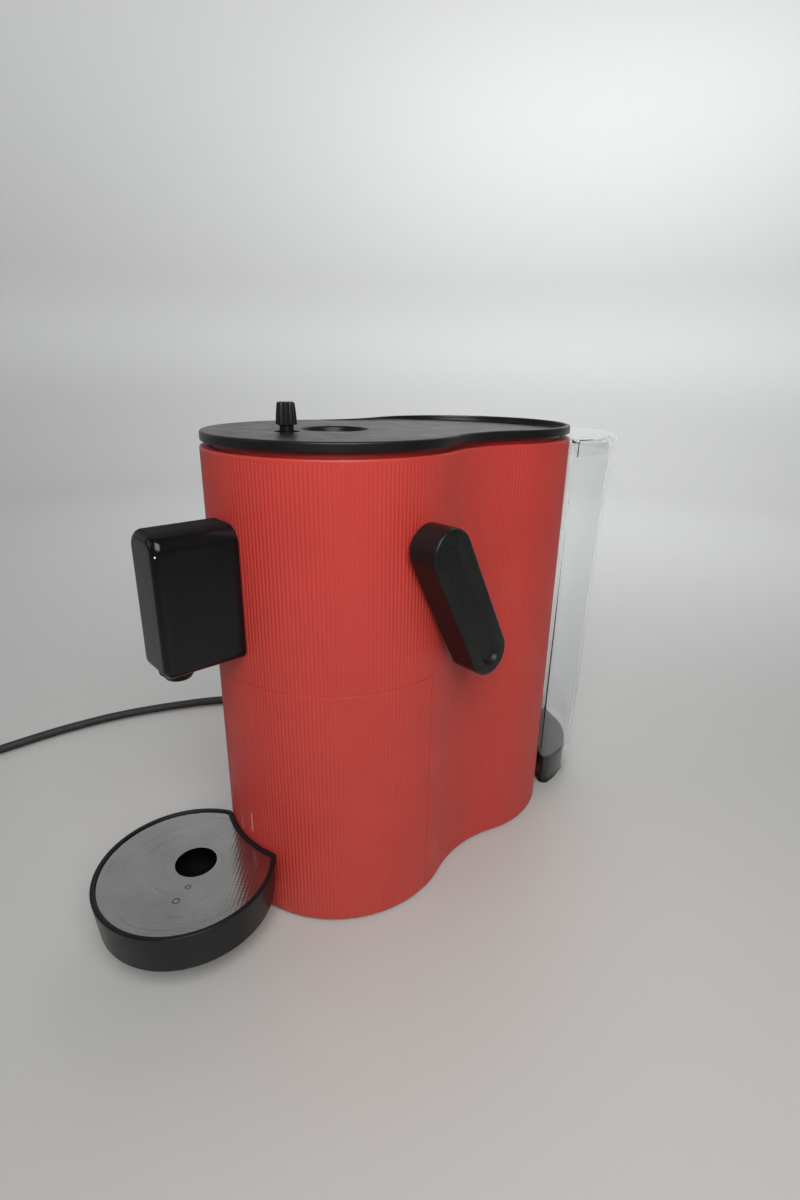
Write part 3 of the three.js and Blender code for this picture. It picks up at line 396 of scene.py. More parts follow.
def heater_aluminium():
    """Die-cast aluminium with a dull, slightly pitted skin."""
    finish = Finish("heater_aluminium", (0.6, 0.61, 0.62), 0.5, Metallic=1.0)
    finish.tint(finish.clouds(12, 5), (0.5, 0.51, 0.52), (0.63, 0.64, 0.65))
    finish.roughen(finish.noise(4, 4), 0.42, 0.6)
    finish.bump(finish.cells(0.8), 0.05, 0.4)
    return finish.material


def pump_metal():
    """The pump's coated coil and frame."""
    finish = Finish("pump_metal", (0.1, 0.1, 0.11), 0.45, Metallic=0.3)
    finish.tint(finish.clouds(10, 4), (0.08, 0.08, 0.09), (0.13, 0.13, 0.14))
    finish.roughen(finish.noise(5, 3), 0.38, 0.55)
    finish.bump(finish.noise(0.9, 4), 0.04, 0.4)
    return finish.material


def brass():
    """Machined brass that has begun to dull."""
    finish = Finish("brass", (0.72, 0.55, 0.28), 0.28, Metallic=1.0)
    finish.tint(finish.clouds(6, 5, 0.35), (0.74, 0.57, 0.29), (0.52, 0.37, 0.18))
    finish.roughen(finish.noise(3, 4), 0.2, 0.4)
    finish.bump(finish.noise(0.4, 2, (8, 1, 1)), 0.01, 0.4)
    return finish.material


def black_rubber():
    """Matt black rubber and flexible plastic, slightly dusty."""
    finish = Finish("black_rubber", (0.014, 0.014, 0.014), 0.55)
    finish.tint(finish.clouds(9, 5, 0.3, 0.75), (0.012, 0.012, 0.012), (0.024, 0.023, 0.022))
    finish.roughen(finish.noise(4, 4), 0.45, 0.64)
    finish.bump(finish.noise(0.5, 3), 0.03, 0.5)
    return finish.material


def hose_silicone():
    """Milky silicone hose."""
    finish = Finish("hose_silicone", (0.6, 0.58, 0.52), 0.45, Transmission_Weight=0.25)
    finish.tint(finish.clouds(7, 4), (0.62, 0.6, 0.55), (0.52, 0.49, 0.42))
    finish.roughen(finish.noise(3, 3), 0.38, 0.55)
    finish.bump(finish.noise(1, 3), 0.03, 0.4)
    return finish.material


def circuit_board():
    """Green solder resist over raised copper tracks."""
    finish = Finish("circuit_board", (0.02, 0.12, 0.05), 0.35)
    tracks = finish.span(finish.cells(6, "DISTANCE_TO_EDGE"), 0.06, 0.09, 1, 0)
    finish.tint(tracks, (0.012, 0.09, 0.035), (0.03, 0.2, 0.08))
    finish.roughen(finish.noise(4, 3), 0.28, 0.42)
    finish.bump(tracks, 0.05, 0.6)
    return finish.material


def light_white():
    """The milky end of a light guide."""
    finish = Finish("light_white", (0.85, 0.85, 0.85), 0.25, Emission_Color=(1, 1, 1, 1),
                    Emission_Strength=0.1)
    finish.tint(finish.clouds(0.8, 3), (0.8, 0.81, 0.82), (0.9, 0.9, 0.9))
    finish.roughen(finish.noise(0.5, 2), 0.18, 0.32)
    finish.bump(finish.noise(0.3, 2), 0.01, 0.3)
    return finish.material


MATERIALS = {make.__name__: make() for make in (
    red_ribbed, red_smooth, black_satin, black_gloss, dark_plastic, clear_plastic, tray_steel,
    plain_steel, heater_aluminium, pump_metal, brass, black_rubber, hose_silicone, circuit_board,
    light_white)}

# ---- outlines ----


def rounded_rectangle(x0, y0, x1, y1, low_r, high_r, steps):
    """A rectangle with one radius for its lower corners and another for its upper ones."""
    return (
        arc(x1 - low_r, y0 + low_r, low_r, -90, 0, steps)
        + arc(x1 - high_r, y1 - high_r, high_r, 0, 90, steps)
        + arc(x0 + high_r, y1 - high_r, high_r, 90, 180, steps)
        + arc(x0 + low_r, y0 + low_r, low_r, 180, 270, steps)
    )


def body_arcs():
    """The body's plan as (centre x, centre y, radius, side, start, end); side is -1 where hollow."""
    front, rear = FRONT_R + NECK_R, REAR_R + NECK_R
    neck_y = (front**2 - rear**2 + LOBE_SPACING**2) / (2 * LOBE_SPACING)
    neck_x = math.sqrt(front**2 - neck_y**2)
    to_front = math.degrees(math.atan2(neck_y, neck_x))
    to_rear = math.degrees(math.atan2(neck_y - LOBE_SPACING, neck_x))
    return [
        (0, 0, FRONT_R, 1, 180 - to_front, 360 + to_front),
        (neck_x, neck_y, NECK_R, -1, 180 + to_front, 180 + to_rear),
        (0, LOBE_SPACING, REAR_R, 1, to_rear, 180 - to_rear),
        (-neck_x, neck_y, NECK_R, -1, -to_rear, -to_front),
    ]


def arc_length(part):
    """The length of one arc of the body's plan."""
    return part[2] * math.radians(abs(part[5] - part[4]))


BODY_ARCS = body_arcs()
BODY_ROUND = sum(arc_length(part) for part in BODY_ARCS)
RIBS = round(BODY_ROUND / RIB_PITCH)


def on_body(distance, inset):
    """The point at a distance round the body's plan, moved inwards by inset."""
    for part in BODY_ARCS:
        if distance <= arc_length(part):
            break
        distance -= arc_length(part)
    x, y, radius, side, start, end = part
    turn = math.radians(start + (end - start) * distance / arc_length(part))
    reach = radius - side * inset
    return x + reach * math.cos(turn), y + reach * math.sin(turn)


def body_outline(inset, count=560):
    """The body's plan, moved inwards by inset, as evenly spaced points."""
    return [on_body(BODY_ROUND * i / count, inset) for i in range(count)]


def groove(distance):
    """0 on a rib's crest, 1 at the bottom of the groove beside it."""
    phase = distance / BODY_ROUND * RIBS
    return (0.5 - 0.5 * math.cos(2 * math.pi * phase)) ** 1.6


def circles_meet(y0, r0, y1, r1):
    """Where two circles on the y axis meet, on the +X side."""
    gap = y1 - y0
    along = (r0**2 - r1**2 + gap**2) / (2 * gap)
    return math.sqrt(r0**2 - along**2), y0 + along


def hollow_outline(round_y, radius, lobe_y, lobe_r, corner_r, steps=150):
    """A round stretch about (0, round_y) whose hollow front follows a circle about (0, lobe_y)."""
    x, y = circles_meet(lobe_y, lobe_r + corner_r, round_y, radius - corner_r)
    back = math.degrees(math.atan2(y - round_y, x))
    hollow = math.degrees(math.atan2(y - lobe_y, x))
    return (
        arc(0, round_y, radius, back, 180 - back, steps)
        + arc(-x, y, corner_r, 180 - back, 360 - hollow, 14)[1:]
        + arc(0, lobe_y, lobe_r, 180 - hollow, hollow, steps // 2)[1:]
        + arc(x, y, corner_r, 180 + hollow, 360 + back, 14)[1:-1]
    )


TANK_Y = 158.5


def tank_outline(radius, lobe_r, corner_r):
    """The tank's plan: it follows the body's rear lobe."""
    return hollow_outline(TANK_Y, radius, LOBE_SPACING, lobe_r, corner_r)


def filleted(corners, steps=5):
    """An open profile whose corners (across, up, radius) are rounded."""
    points = []
    for i, (across, up, radius) in enumerate(corners):
        corner = Vector((across, up))
        if radius == 0 or i in (0, len(corners) - 1):
            points.append(tuple(corner))
            continue
        before = Vector(corners[i - 1][:2]) - corner
        after = Vector(corners[i + 1][:2]) - corner
        opening = before.angle(after)
        reach = radius / math.tan(opening / 2)
        # Two roundings on one side must not meet.
        reach = min(reach, 0.48 * before.length, 0.48 * after.length)
        start = corner + before.normalized() * reach
        end = corner + after.normalized() * reach
        for step in range(steps + 1):
            s = step / steps
            points.append(tuple(start * (1 - s) ** 2 + corner * (2 * s * (1 - s)) + end * s**2))
    return points


# ---- meshes ----


def skin(name, points, faces):
    """A piece with this closed surface, its points in millimetres."""
    mesh = bpy.data.meshes.new(name)
    mesh.from_pydata([(x * MM, y * MM, z * MM) for x, y, z in points], [], faces)
    work = bmesh.new()
    work.from_mesh(mesh)
    bmesh.ops.recalc_face_normals(work, faces=work.faces)
    work.to_mesh(mesh)
    work.free()
    return link(name, mesh)


def solid(name, rings, joined=False, place=None):
    """A closed skin over rings with equal numbers of (x, y, z) points.

    The first and last rings are capped, or joined to each other."""
    count = len(rings[0])
    points = [point for ring in rings for point in ring]
    if place is not None:
        points = [place(*point) for point in points]
    faces = []
    for level in range(len(rings) if joined else len(rings) - 1):
        low, high = level * count, (level + 1) % len(rings) * count
        for i in range(count):
            after = (i + 1) % count
            faces.append((low + i, low + after, high + after, high + i))
    if not joined:
        top = (len(rings) - 1) * count
        faces.append(tuple(reversed(range(count))))
        faces.append(tuple(range(top, top + count)))
    return skin(name, points, faces)


def turned(name, profile, steps=112, joined=False, place=None):
    """A piece turned about the z axis from (radius, height) pairs that stay off the axis."""
    rings = [[(x, y, z) for x, y in circle(r, steps)] for r, z in profile]
    return solid(name, rings, joined, place)


def ladder(name, outline, section, joined=False, place=None):
    """A piece whose (inset, height) section follows outline(inset)."""
    rings = [[(x, y, z) for x, y in outline(inset)] for inset, z in section]
    return solid(name, rings, joined, place)


def block(x0, y0, z0, x1, y1, z1):
    """A box to carve with, between two corners."""
    corners = [(x0, y0), (x1, y0), (x1, y1), (x0, y1)]
    return solid("tool", [[(x, y, z) for x, y in corners] for z in (z0, z1)])


def rod(radius, z0, z1, place=None, steps=64):
    """A cylinder to carve with, along +Z unless place turns it."""
    return turned("tool", [(radius, z0), (radius, z1)], steps, place=place)


def shift(dx, dy):
    """Moves a point level."""
    return lambda x, y, z: (x + dx, y + dy, z)


def along_x(dy, dz):
    """Turns +Z to +X, keeping +Y, then moves it."""
    return lambda x, y, z: (z, y + dy, dz - x)


def forwards(dz=0):
    """Turns +Z to -Y, keeping +X; the old +Y points up."""
    return lambda x, y, z: (x, -z, y + dz)


CREASE = 38  # degrees between faces, above which an edge is drawn sharp


def carve(piece, *tools, operation="DIFFERENCE"):
    """Cuts the tools from the piece, or joins or intersects them, and throws them away."""
    for tool in tools:
        step = piece.modifiers.new("carve", "BOOLEAN")
        step.operation = operation
        step.solver = "MANIFOLD"
        step.object = tool
    bpy.context.view_layer.update()
    shape = piece.evaluated_get(bpy.context.evaluated_depsgraph_get())
    mesh = bpy.data.meshes.new_from_object(shape)
    piece.modifiers.clear()
    piece.data = mesh
    for tool in tools:
        bpy.data.objects.remove(tool)
    return piece


def finish_piece(piece, slot, body, *nodes, crease=CREASE, weighted=True):
    """Shades a piece, gives it its slot's material, and puts it on its body in its CAD nodes' place."""
    if piece.type == "MESH":
        piece.data.shade_smooth()
        piece.data.set_sharp_from_angle(angle=math.radians(crease))
        if weighted:
            shade = piece.modifiers.new("even_shading", "WEIGHTED_NORMAL")
            shade.keep_sharp = True
    piece.data.materials.clear()
    piece.data.materials.append(MATERIALS[slot])
    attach(piece, body)
    if nodes:
        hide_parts(*nodes)
    return piece


# ---- mains lead ----

CORD_R = 3.4
FLOOR_Z = CORD_R + 0.3
GLAND_Z = 13
GLAND_END = -REAR_R - GAP - 30
CORD_EXIT = (GLAND_END - 2 * GAP, LOBE_SPACING, GLAND_Z)
CORD_ROUTE = [CORD_EXIT, (-112, 102.6, 11.5), (-130, 100, 6.5)] + [(x, y, FLOOR_Z) for x, y in (
    (-150, 94), (-176, 79), (-198, 58), (-214, 38), (-226, 19), (-238, -6), (-248, -31), (-256, -56),
    (-261, -82), (-264, -110), (-264.6, -140), (-264.6, -165), (-264.6, -189))]
COIL_X, COIL_Y = -222.4, -214
OUTER_TURN, INNER_TURN, TOP_TURN, TOP_Z = 42.2, 35.2, 38.7, 10.2
PLUG_X, PLUG_Y, PLUG_Z = -191.4, COIL_Y - TOP_TURN, 10
PLUG_LENGTH, PIN_SPACING = 42, 19


def ease(value, low, high):
    """0 before low, 1 after high, and smooth between."""
    t = min(max((value - low) / (high - low), 0), 1)
    return t * t * (3 - 2 * t)


def coil_points():
    """Two and a quarter turns: side by side on the floor, then up on top of the earlier ones.

    It moves inwards near the end of the first turn, and upwards late in the second."""
    points = []
    for turn in range(180, 990, 15):
        radius = OUTER_TURN + (INNER_TURN - OUTER_TURN) * ease(turn, 470, 545)
        radius += (TOP_TURN - INNER_TURN) * ease(turn, 795, 850)
        height = FLOOR_Z + (TOP_Z - FLOOR_Z) * ease(turn, 765, 835)
        angle = math.radians(turn)
        points.append((COIL_X + radius * math.cos(angle), COIL_Y + radius * math.sin(angle), height))
    return points


def mains_lead():
    """The lead's whole length: from the strain relief, round the coil and into the plug."""
    end = [(COIL_X, PLUG_Y, PLUG_Z), (COIL_X + 16, PLUG_Y, PLUG_Z), (PLUG_X + 6, PLUG_Y, PLUG_Z)]
    route = CORD_ROUTE + coil_points() + end
    data = bpy.data.curves.new("mains_lead", "CURVE")
    data.dimensions = "3D"
    data.bevel_depth = CORD_R * MM
    data.bevel_resolution = 7
    data.resolution_u = 8
    data.use_fill_caps = True
    spline = data.splines.new("BEZIER")
    spline.bezier_points.add(len(route) - 1)
    for point, place in zip(spline.bezier_points, route):
        point.co = Vector(place) * MM
        point.handle_left_type = "AUTO"
        point.handle_right_type = "AUTO"
    return link("mains_lead", data)


def strain_relief():
    """A tapered rubber sleeve with rings cut round it, so that it bends with the lead."""
    hub_r, flange_r, thick_r, thin_r = 5.6, 9, 6.5, 4.7
    inner, flange_in, flange_out, start, end = 62, 67.3, 70.3, 71.4, -GLAND_END
    flange = [(hub_r - 0.4, inner, 0), (hub_r, inner, 0.2), (hub_r, flange_in, 0),
              (flange_r, flange_in, 0.3), (flange_r, flange_out, 0.8),
              (thick_r + 0.1, flange_out + 0.3, 0.4)]
    profile = filleted(flange, 3)
    rings = 7
    pitch = (end - start) / rings
    for ring in range(rings):
        radius = thick_r - (thick_r - thin_r) * ring / (rings - 1)
        near = start + ring * pitch
        for cut, share in ((0.9, 0), (0.9, 0.3), (0.15, 0.38), (0, 0.5), (0, 0.85), (0.2, 0.97)):
            profile.append((radius - cut, near + share * pitch))
    profile.append((CORD_R + 0.1, end))

    def outwards(x, y, z):
        """Turns +Z to -X, at the height where the lead leaves the rear lobe."""
        return -z, LOBE_SPACING + y, GLAND_Z + x

    return turned("strain_relief", profile, 48, place=outwards)


def coil_tie():
    """A soft strap round the coil's cross-section, opposite the plug."""
    half_w, half_across, thick, lift = 4.5, 7.3, 0.9, 0.15
    at = math.radians(20)
    middle_r = (OUTER_TURN + INNER_TURN) / 2
    outer = rounded_rectangle(-half_across, lift, half_across, 2 * FLOOR_Z, 3.4, 3.4, 8)
    inner = rounded_rectangle(-half_across + thick, lift + 0.25, half_across - thick,
                              2 * FLOOR_Z - thick, 2.8, 2.8, 8)
    rings = []
    for loop, half in ((outer, half_w - 0.3), (outer, 0.3 - half_w), (inner, -half_w), (inner, half_w)):
        ring = []
        for out, up in loop:
            reach = middle_r + out
            ring.append((COIL_X + reach * math.cos(at) - half * math.sin(at),
                         COIL_Y + reach * math.sin(at) + half * math.cos(at), up))
        rings.append(ring)
    return solid("coil_tie", rings, joined=True)


def on_plug(across=0):
    """From the plug's own axes, +Z towards its pins, to its place, moved across by across."""
    return lambda x, y, z: (PLUG_X + z, PLUG_Y + across + y, PLUG_Z - x)


def plug_shell():
    """A two-pin plug: a ribbed neck that widens into a grip with a flat face.

    Each station is (distance along, half width, half height, corner radius)."""
    half_w, half_h, end = 13, 9.9, PLUG_LENGTH
    stations = [(0, 4.4, 4.4, 4.3), (0.8, 4.9, 4.9, 4.6), (12, 5.4, 5.4, 5.2), (13.5, 6.6, 6.1, 5.2),
                (15, 9, 7.9, 5), (17, 11.8, 9.2, 5), (20, half_w, half_h, 5)]
    for groove_at in (23, 26, 29, 32):
        stations += [(groove_at - 0.7, half_w, half_h, 5), (groove_at, half_w - 0.8, half_h - 0.7, 4.6),
                     (groove_at + 0.7, half_w, half_h, 5)]
    stations += [(end - 1, half_w - 0.5, half_h, 5), (end - 0.3, half_w - 0.8, half_h - 0.3, 4.8),
                 (end, half_w - 1.6, half_h - 1.1, 4.4)]
    rings = [[(x, y, z) for x, y in rounded_rectangle(-h, -w, h, w, r, r, 8)] for z, w, h, r in stations]
    shell = solid("plug_shell", rings, place=on_plug())
    lead_hole = rod(CORD_R + GAP, -1, 8, on_plug(), 32)
    pin_holes = [rod(2.3, end - 6, end + 1, on_plug(side * PIN_SPACING / 2), 24) for side in (-1, 1)]
    return carve(shell, lead_hole, *pin_holes)


def add_lead():
    """The lead with its strain relief, plug and tie."""
    gland = finish_piece(strain_relief(), "black_rubber", "body", "cord_gland")
    plug = finish_piece(plug_shell(), "black_rubber", "body", "plug_body")
    tie = finish_piece(coil_tie(), "black_rubber", "body")
    lead = finish_piece(mains_lead(), "black_rubber", "body", "power_cord", "cord_coil")


# ---- body ----

SEAM_Z = 146.1
SEAM_GAP = 0.3
SIDE_GAP = 0.5
DRAWER_SPLIT_Y = 10
SHELL_BOTTOM, SHELL_TOP = heights("outer_shell")
LID_BOTTOM, LID_TOP = heights("top_lid")
LID_INSET = 0.4
RING_INSET = 6
LEVER_Z = 219
BREW_Z = 187
HOSE_Z = 14
SCREWS = [arc(0, LOBE_SPACING, 59.5, angle, angle, 1)[0] for angle in (40, 140)]
BOSS_R, BOSS_TOP = 5.4, 30
LEVER_HOLE_R, OUTLET_HOLE_R, GLAND_HOLE_R, HOSE_HOLE_R, SCREW_HOLE_R = 8.5, 8, 6, 4, 2
RIB_FADE = 0.9
RIB_CREASE = 55


def rib_share(z, bottom, top):
    """How deep the ribs are at a height: they run out just before the piece's edges."""
    return ease(z, bottom, bottom + RIB_FADE) * (1 - ease(z, top - RIB_FADE, top))


def ribbed_ring(inset, z, depth):
    """A level of the ribbed skin; depth is the ribs' share of their full depth."""
    count = RIBS * RIB_STEPS
    spots = [BODY_ROUND * i / count for i in range(count)]
    return [(*on_body(s, inset + RIB_DEPTH * depth * groove(s)), z) for s in spots]


def ribbed_shell():
    """The whole ribbed body above the seam, and behind the container below it."""
    lip = RING_INSET - GAP
    fade = SHELL_TOP - 1.5
    foot = [(WALL - 0.4, SHELL_BOTTOM), (0.5, SHELL_BOTTOM), (0.12, SHELL_BOTTOM + 0.12),
            (0, SHELL_BOTTOM + 0.5)]
    corners = [(0, SHELL_BOTTOM + 2, 0), (0, fade - RIB_FADE, 0), (0, fade - RIB_FADE / 2, 0),
               (0, fade, 0), (0, SHELL_TOP, 1.3), (lip, SHELL_TOP, 0.3), (lip, SHELL_TOP - 2, 0),
               (WALL, SHELL_TOP - 2, 0), (WALL, SHELL_BOTTOM, 0)]
    rings = [ribbed_ring(inset, z, rib_share(z, SHELL_BOTTOM, fade) if inset < WALL / 2 else 0)
             for inset, z in foot + filleted(corners)]
    shell = solid("ribbed_shell", rings, joined=True)
    bosses = [rod(BOSS_R, 6.1, BOSS_TOP, shift(x, y)) for x, y in SCREWS]
    carve(shell, *bosses, operation="UNION")
    wide = FRONT_R + 2
    back = LOBE_SPACING + REAR_R
    tools = [
        block(-wide, -wide, 0, wide, DRAWER_SPLIT_Y + SIDE_GAP / 2, SEAM_Z),
        rod(LEVER_HOLE_R, FRONT_R - 10, FRONT_R + 10, along_x(0, LEVER_Z)),
        rod(OUTLET_HOLE_R, FRONT_R - 10, FRONT_R + 10, forwards(BREW_Z)),
        rod(GLAND_HOLE_R, -REAR_R - 8, -REAR_R + 7, along_x(LOBE_SPACING, GLAND_Z)),
        rod(HOSE_HOLE_R, -back - 6, -back + 10, forwards(HOSE_Z)),
    ]
    tools += [rod(SCREW_HOLE_R, 0, 24, shift(x, y)) for x, y in SCREWS]
    carve(shell, *tools)
    return finish_piece(shell, "red_ribbed", "body", "outer_shell", crease=RIB_CREASE, weighted=False)


def container_skin():
    """The ribbed front of the used-pod drawer; its ribs meet the shell's."""
    low, high = heights("container_front")[0], SEAM_Z - SEAM_GAP
    corners = [(WALL / 2, low, 0), (0, low, 0.5), (0, low + 1.5, 0), (0, high - 1.5, 0), (0, high, 0.6),
               (WALL, high, 0.3), (WALL, low, 0.3), (WALL / 2, low, 0)]
    section = filleted(corners)[:-1]
    edge = math.degrees(math.asin((DRAWER_SPLIT_Y - SIDE_GAP / 2) / FRONT_R))
    start = FRONT_R * math.radians(180 - edge - BODY_ARCS[0][4])
    end = FRONT_R * math.radians(360 + edge - BODY_ARCS[0][4])
    step = BODY_ROUND / (RIBS * RIB_STEPS)
    between = [i * step for i in range(RIBS * RIB_STEPS) if start + 0.1 < i * step < end - 0.1]
    rings = []
    for spot in (start, *between, end):
        ring = []
        for inset, z in section:
            depth = rib_share(z, low - 0.4, high + 0.4) if inset < WALL / 2 else 0
            ring.append((*on_body(spot, inset + RIB_DEPTH * depth * groove(spot)), z))
        rings.append(ring)
    front = solid("ribbed_container", rings)
    return finish_piece(front, "red_ribbed", "drawer", "container_front", crease=RIB_CREASE, weighted=False)


def collar_band():
    """The smooth recessed ring under the lid."""
    low, high = heights("neck_ring")
    outer, inner = RING_INSET, RING_INSET + WALL
    corners = [(inner, high, 0), (inner, low, 0), (outer, low, 0.4), (outer, high, 0.4), (inner, high, 0)]
    band = ladder("smooth_collar", body_outline, filleted(corners)[:-1], joined=True)
    return finish_piece(band, "red_smooth", "body", "neck_ring")


PORT_R, DISH_R = 16.5, 18.2
KNOB_Y, KNOB_WELL_R = -30, 6.6
TRAY_SLOPE, TRAY_LIFT, TRAY_RIM = 0.03, 0.78, 3
BRIM = 0.04  # how far over an open face a cutting tool spreads out


def lid_tray_tool():
    """Cuts the shallow tray over the rear lobe; its floor falls towards the back."""
    steps = [(1.6, 0), (0.7, 0.02), (0.25, 0.16), (0.05, 0.4), (0, 0.62), (-0.06, 0.86), (-0.3, 0.99),
             (-0.6, 1)]
    rings = []
    for inward, share in steps:
        ring = []
        for x, y in body_outline(LID_INSET + TRAY_RIM + inward):
            floor = min(LID_TOP + TRAY_LIFT - math.tan(TRAY_SLOPE) * y, LID_TOP + BRIM / 2)
            ring.append((x, y, floor + (LID_TOP + BRIM - floor) * share))
        rings.append(ring)
    rings.append([(x, y, LID_TOP + 3) for x, y, _ in rings[-1]])
    return solid("tool", rings)


def lid_plate():
    """The lid: flat over the front lobe with a round pod port, a sunken tray over the rear lobe."""
    corners = [(LID_INSET + 3, LID_BOTTOM, 0), (LID_INSET, LID_BOTTOM, 0.5), (LID_INSET, LID_TOP, 1.3),
               (LID_INSET + 3, LID_TOP, 0)]
    lid = ladder("lid_plate", body_outline, filleted(corners, 7))
    low, over, high = LID_BOTTOM - 2, LID_TOP + BRIM, LID_TOP + 2
    dish = [(PORT_R, low, 0), (PORT_R, LID_BOTTOM + 1.2, 0.9), (DISH_R, over, 1.6), (DISH_R + 4, over, 0),
            (DISH_R + 4, high, 0)]
    well = [(KNOB_WELL_R, low, 0), (KNOB_WELL_R, over, 0.7), (KNOB_WELL_R + 2, over, 0),
            (KNOB_WELL_R + 2, high, 0)]
    carve(lid, turned("tool", filleted(dish, 8), 128), lid_tray_tool(),
          turned("tool", filleted(well), 72, place=shift(0, KNOB_Y)))
    return finish_piece(lid, "black_satin", "body", "top_lid")


def port_shutter():
    """The plate that closes the pod port, hollowed like a saucer."""
    low, high = corners_of("port_shutter")
    corners = [(3, low.z, 0), (0, low.z, 0.4), (0, high.z, 0.4), (3, high.z, 0)]

    def plan(inset):
        """The plate's outline, moved inwards by inset."""
        return rounded_rectangle(low.x + inset, low.y + inset, high.x - inset, high.y - inset, 4 - inset,
                                 4 - inset, 6)

    plate = ladder("saucer_shutter", plan, filleted(corners, 3))
    depth = 1.8
    bowl = [(r, high.z - depth * (1 - (r / (PORT_R + 1)) ** 2))
            for r in (0.4, 3, 6, 9, 12, 14.5, 16.5, 17.5)]
    bowl += [(PORT_R + 2.2, high.z + 0.06), (PORT_R + 2.2, high.z + 2)]
    carve(plate, turned("tool", bowl, 112))
    return finish_piece(plate, "black_satin", "carriage", "port_shutter")


def fluted_knob():
    """A tapered grip with 16 flutes on a narrower round collar, bored for its stem.

    The section is (radius, height, share of the flutes' depth)."""
    low, high = heights("knob")
    grip_low, flutes, flute_depth, bore = 274, 16, 0.55, 2.9
    count = flutes * 12
    section = [(bore, grip_low + 1, 0), (bore, low, 0), (3.4, low, 0), (3.6, low + 0.3, 0),
               (3.6, grip_low - 1.5, 0), (3.8, grip_low - 1.1, 0), (5.1, grip_low - 1, 0.6),
               (5.4, grip_low - 0.6, 1), (5.15, grip_low + 3.2, 1), (4.85, grip_low + 6.4, 1),
               (4.55, high - 0.9, 1), (4.3, high - 0.35, 0.7), (3.85, high - 0.08, 0.25), (3.3, high, 0),
               (2.6, high - 0.06, 0), (1.2, high - 0.16, 0)]
    rings = []
    for radius, z, share in section:
        ring = []
        for i in range(count):
            turn = 2 * math.pi * i / count
            hollow = (0.5 - 0.5 * math.cos(flutes * turn)) ** 0.6
            reach = radius - flute_depth * share * hollow
            ring.append((reach * math.cos(turn), KNOB_Y + reach * math.sin(turn), z))
        rings.append(ring)
    return finish_piece(solid("fluted_knob", rings), "black_satin", "knob", "knob", crease=48)


# ---- spout ----

HEAD_HALF_W, HEAD_BOTTOM, HEAD_FRONT = 14, 160.2, 110
HEAD_EDGE_R = 4.6
HEAD_WALL = 2.2
OUTLET_Y = -99
LIGHT_R, LIGHT_Z = 0.45, 220.6
LIGHT_TURN = math.radians(45)
NOZZLE_NECK_R = 4.9


def head_solid(name, inset, front):
    """A box with a rounded front face, drawn along +Z and then laid forwards."""
    back, edge, low_r, high_r = 40, HEAD_EDGE_R, 5, 8.5
    stations = [(back, 0)] + arc(front - edge, edge, edge, -90, 0, 10)
    rings = []
    for reach, shrink in stations:
        side = HEAD_HALF_W - inset - shrink
        low, high = HEAD_BOTTOM + inset + shrink, HEAD_TOP - inset - shrink
        outline = rounded_rectangle(-side, low, side, high, max(low_r - inset - shrink, 0.6),
                                    max(high_r - inset - shrink, 0.8), 12)
        rings.append([(x, y, reach) for x, y in outline])
    return solid(name, rings, place=forwards())


def on_head_edge(x, y, z):
    """From the light guide's own axes, +Z outwards, to the head's round upright edge."""
    out, along = math.cos(LIGHT_TURN), math.sin(LIGHT_TURN)
    return (HEAD_HALF_W - HEAD_EDGE_R + z * out + x * along,
            -HEAD_FRONT + HEAD_EDGE_R - z * along + x * out, LIGHT_Z + y)


def gloss_head():
    """The spout head, hollow towards the body, with a hole for the nozzle and for the light."""
    head = head_solid("gloss_head", 0, HEAD_FRONT)
    carve(head, head_solid("tool", HEAD_WALL, HEAD_FRONT - HEAD_WALL),
          rod(FRONT_R + GAP, 100, 300, steps=256),
          rod(NOZZLE_NECK_R + GAP, HEAD_BOTTOM - 2, HEAD_BOTTOM + 10, shift(0, OUTLET_Y)),
          rod(LIGHT_R + 0.08, 0.5, HEAD_EDGE_R + 2, on_head_edge, 32))
    return finish_piece(head, "black_gloss", "body", "spout_head")


def light_lens():
    """The small domed end of the light guide in the head's upright edge."""
    end = HEAD_EDGE_R - 0.05
    profile = [(LIGHT_R, 1), (LIGHT_R, end - 0.12), (0.38, end - 0.04), (0.25, end), (0.1, end)]
    lens = turned("light_lens", profile, 32, place=on_head_edge)
    return finish_piece(lens, "light_white", "body", "status_light")


def spout_tip():
    """The nozzle: a short cone that opens downwards from a wide rim."""
    low, high = heights("spout_nozzle")
    rim, bore = HEAD_BOTTOM - GAP, 2.6
    corners = [(bore, high, 0), (bore, low + 1.4, 0), (4.8, low, 0.5), (6.2, low, 0.6),
               (8.2, rim - 1.6, 1.2), (9, rim - 1.2, 0.4), (9, rim, 0.3), (NOZZLE_NECK_R, rim, 0.2),
               (NOZZLE_NECK_R, high, 0.4), (bore, high, 0)]
    tip = turned("spout_tip", filleted(corners)[:-1], 96, joined=True, place=shift(0, OUTLET_Y))
    return finish_piece(tip, "black_satin", "body", "spout_nozzle")


# ---- lever ----

LEVER_TURN = math.radians(28.3)
LEVER_LENGTH, LEVER_R = 67.3, 12.7
SHAFT_BORE_R = 5.3
LEVER_INNER, LEVER_OUTER = [corner.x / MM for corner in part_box("lever_handle")]


def on_lever(x, y, z):
    """From the bar's own axes, +X from the shaft to its free end, to its place at rest."""
    down = -x
    return (z, y * math.cos(LEVER_TURN) - down * math.sin(LEVER_TURN),
            LEVER_Z + y * math.sin(LEVER_TURN) + down * math.cos(LEVER_TURN))


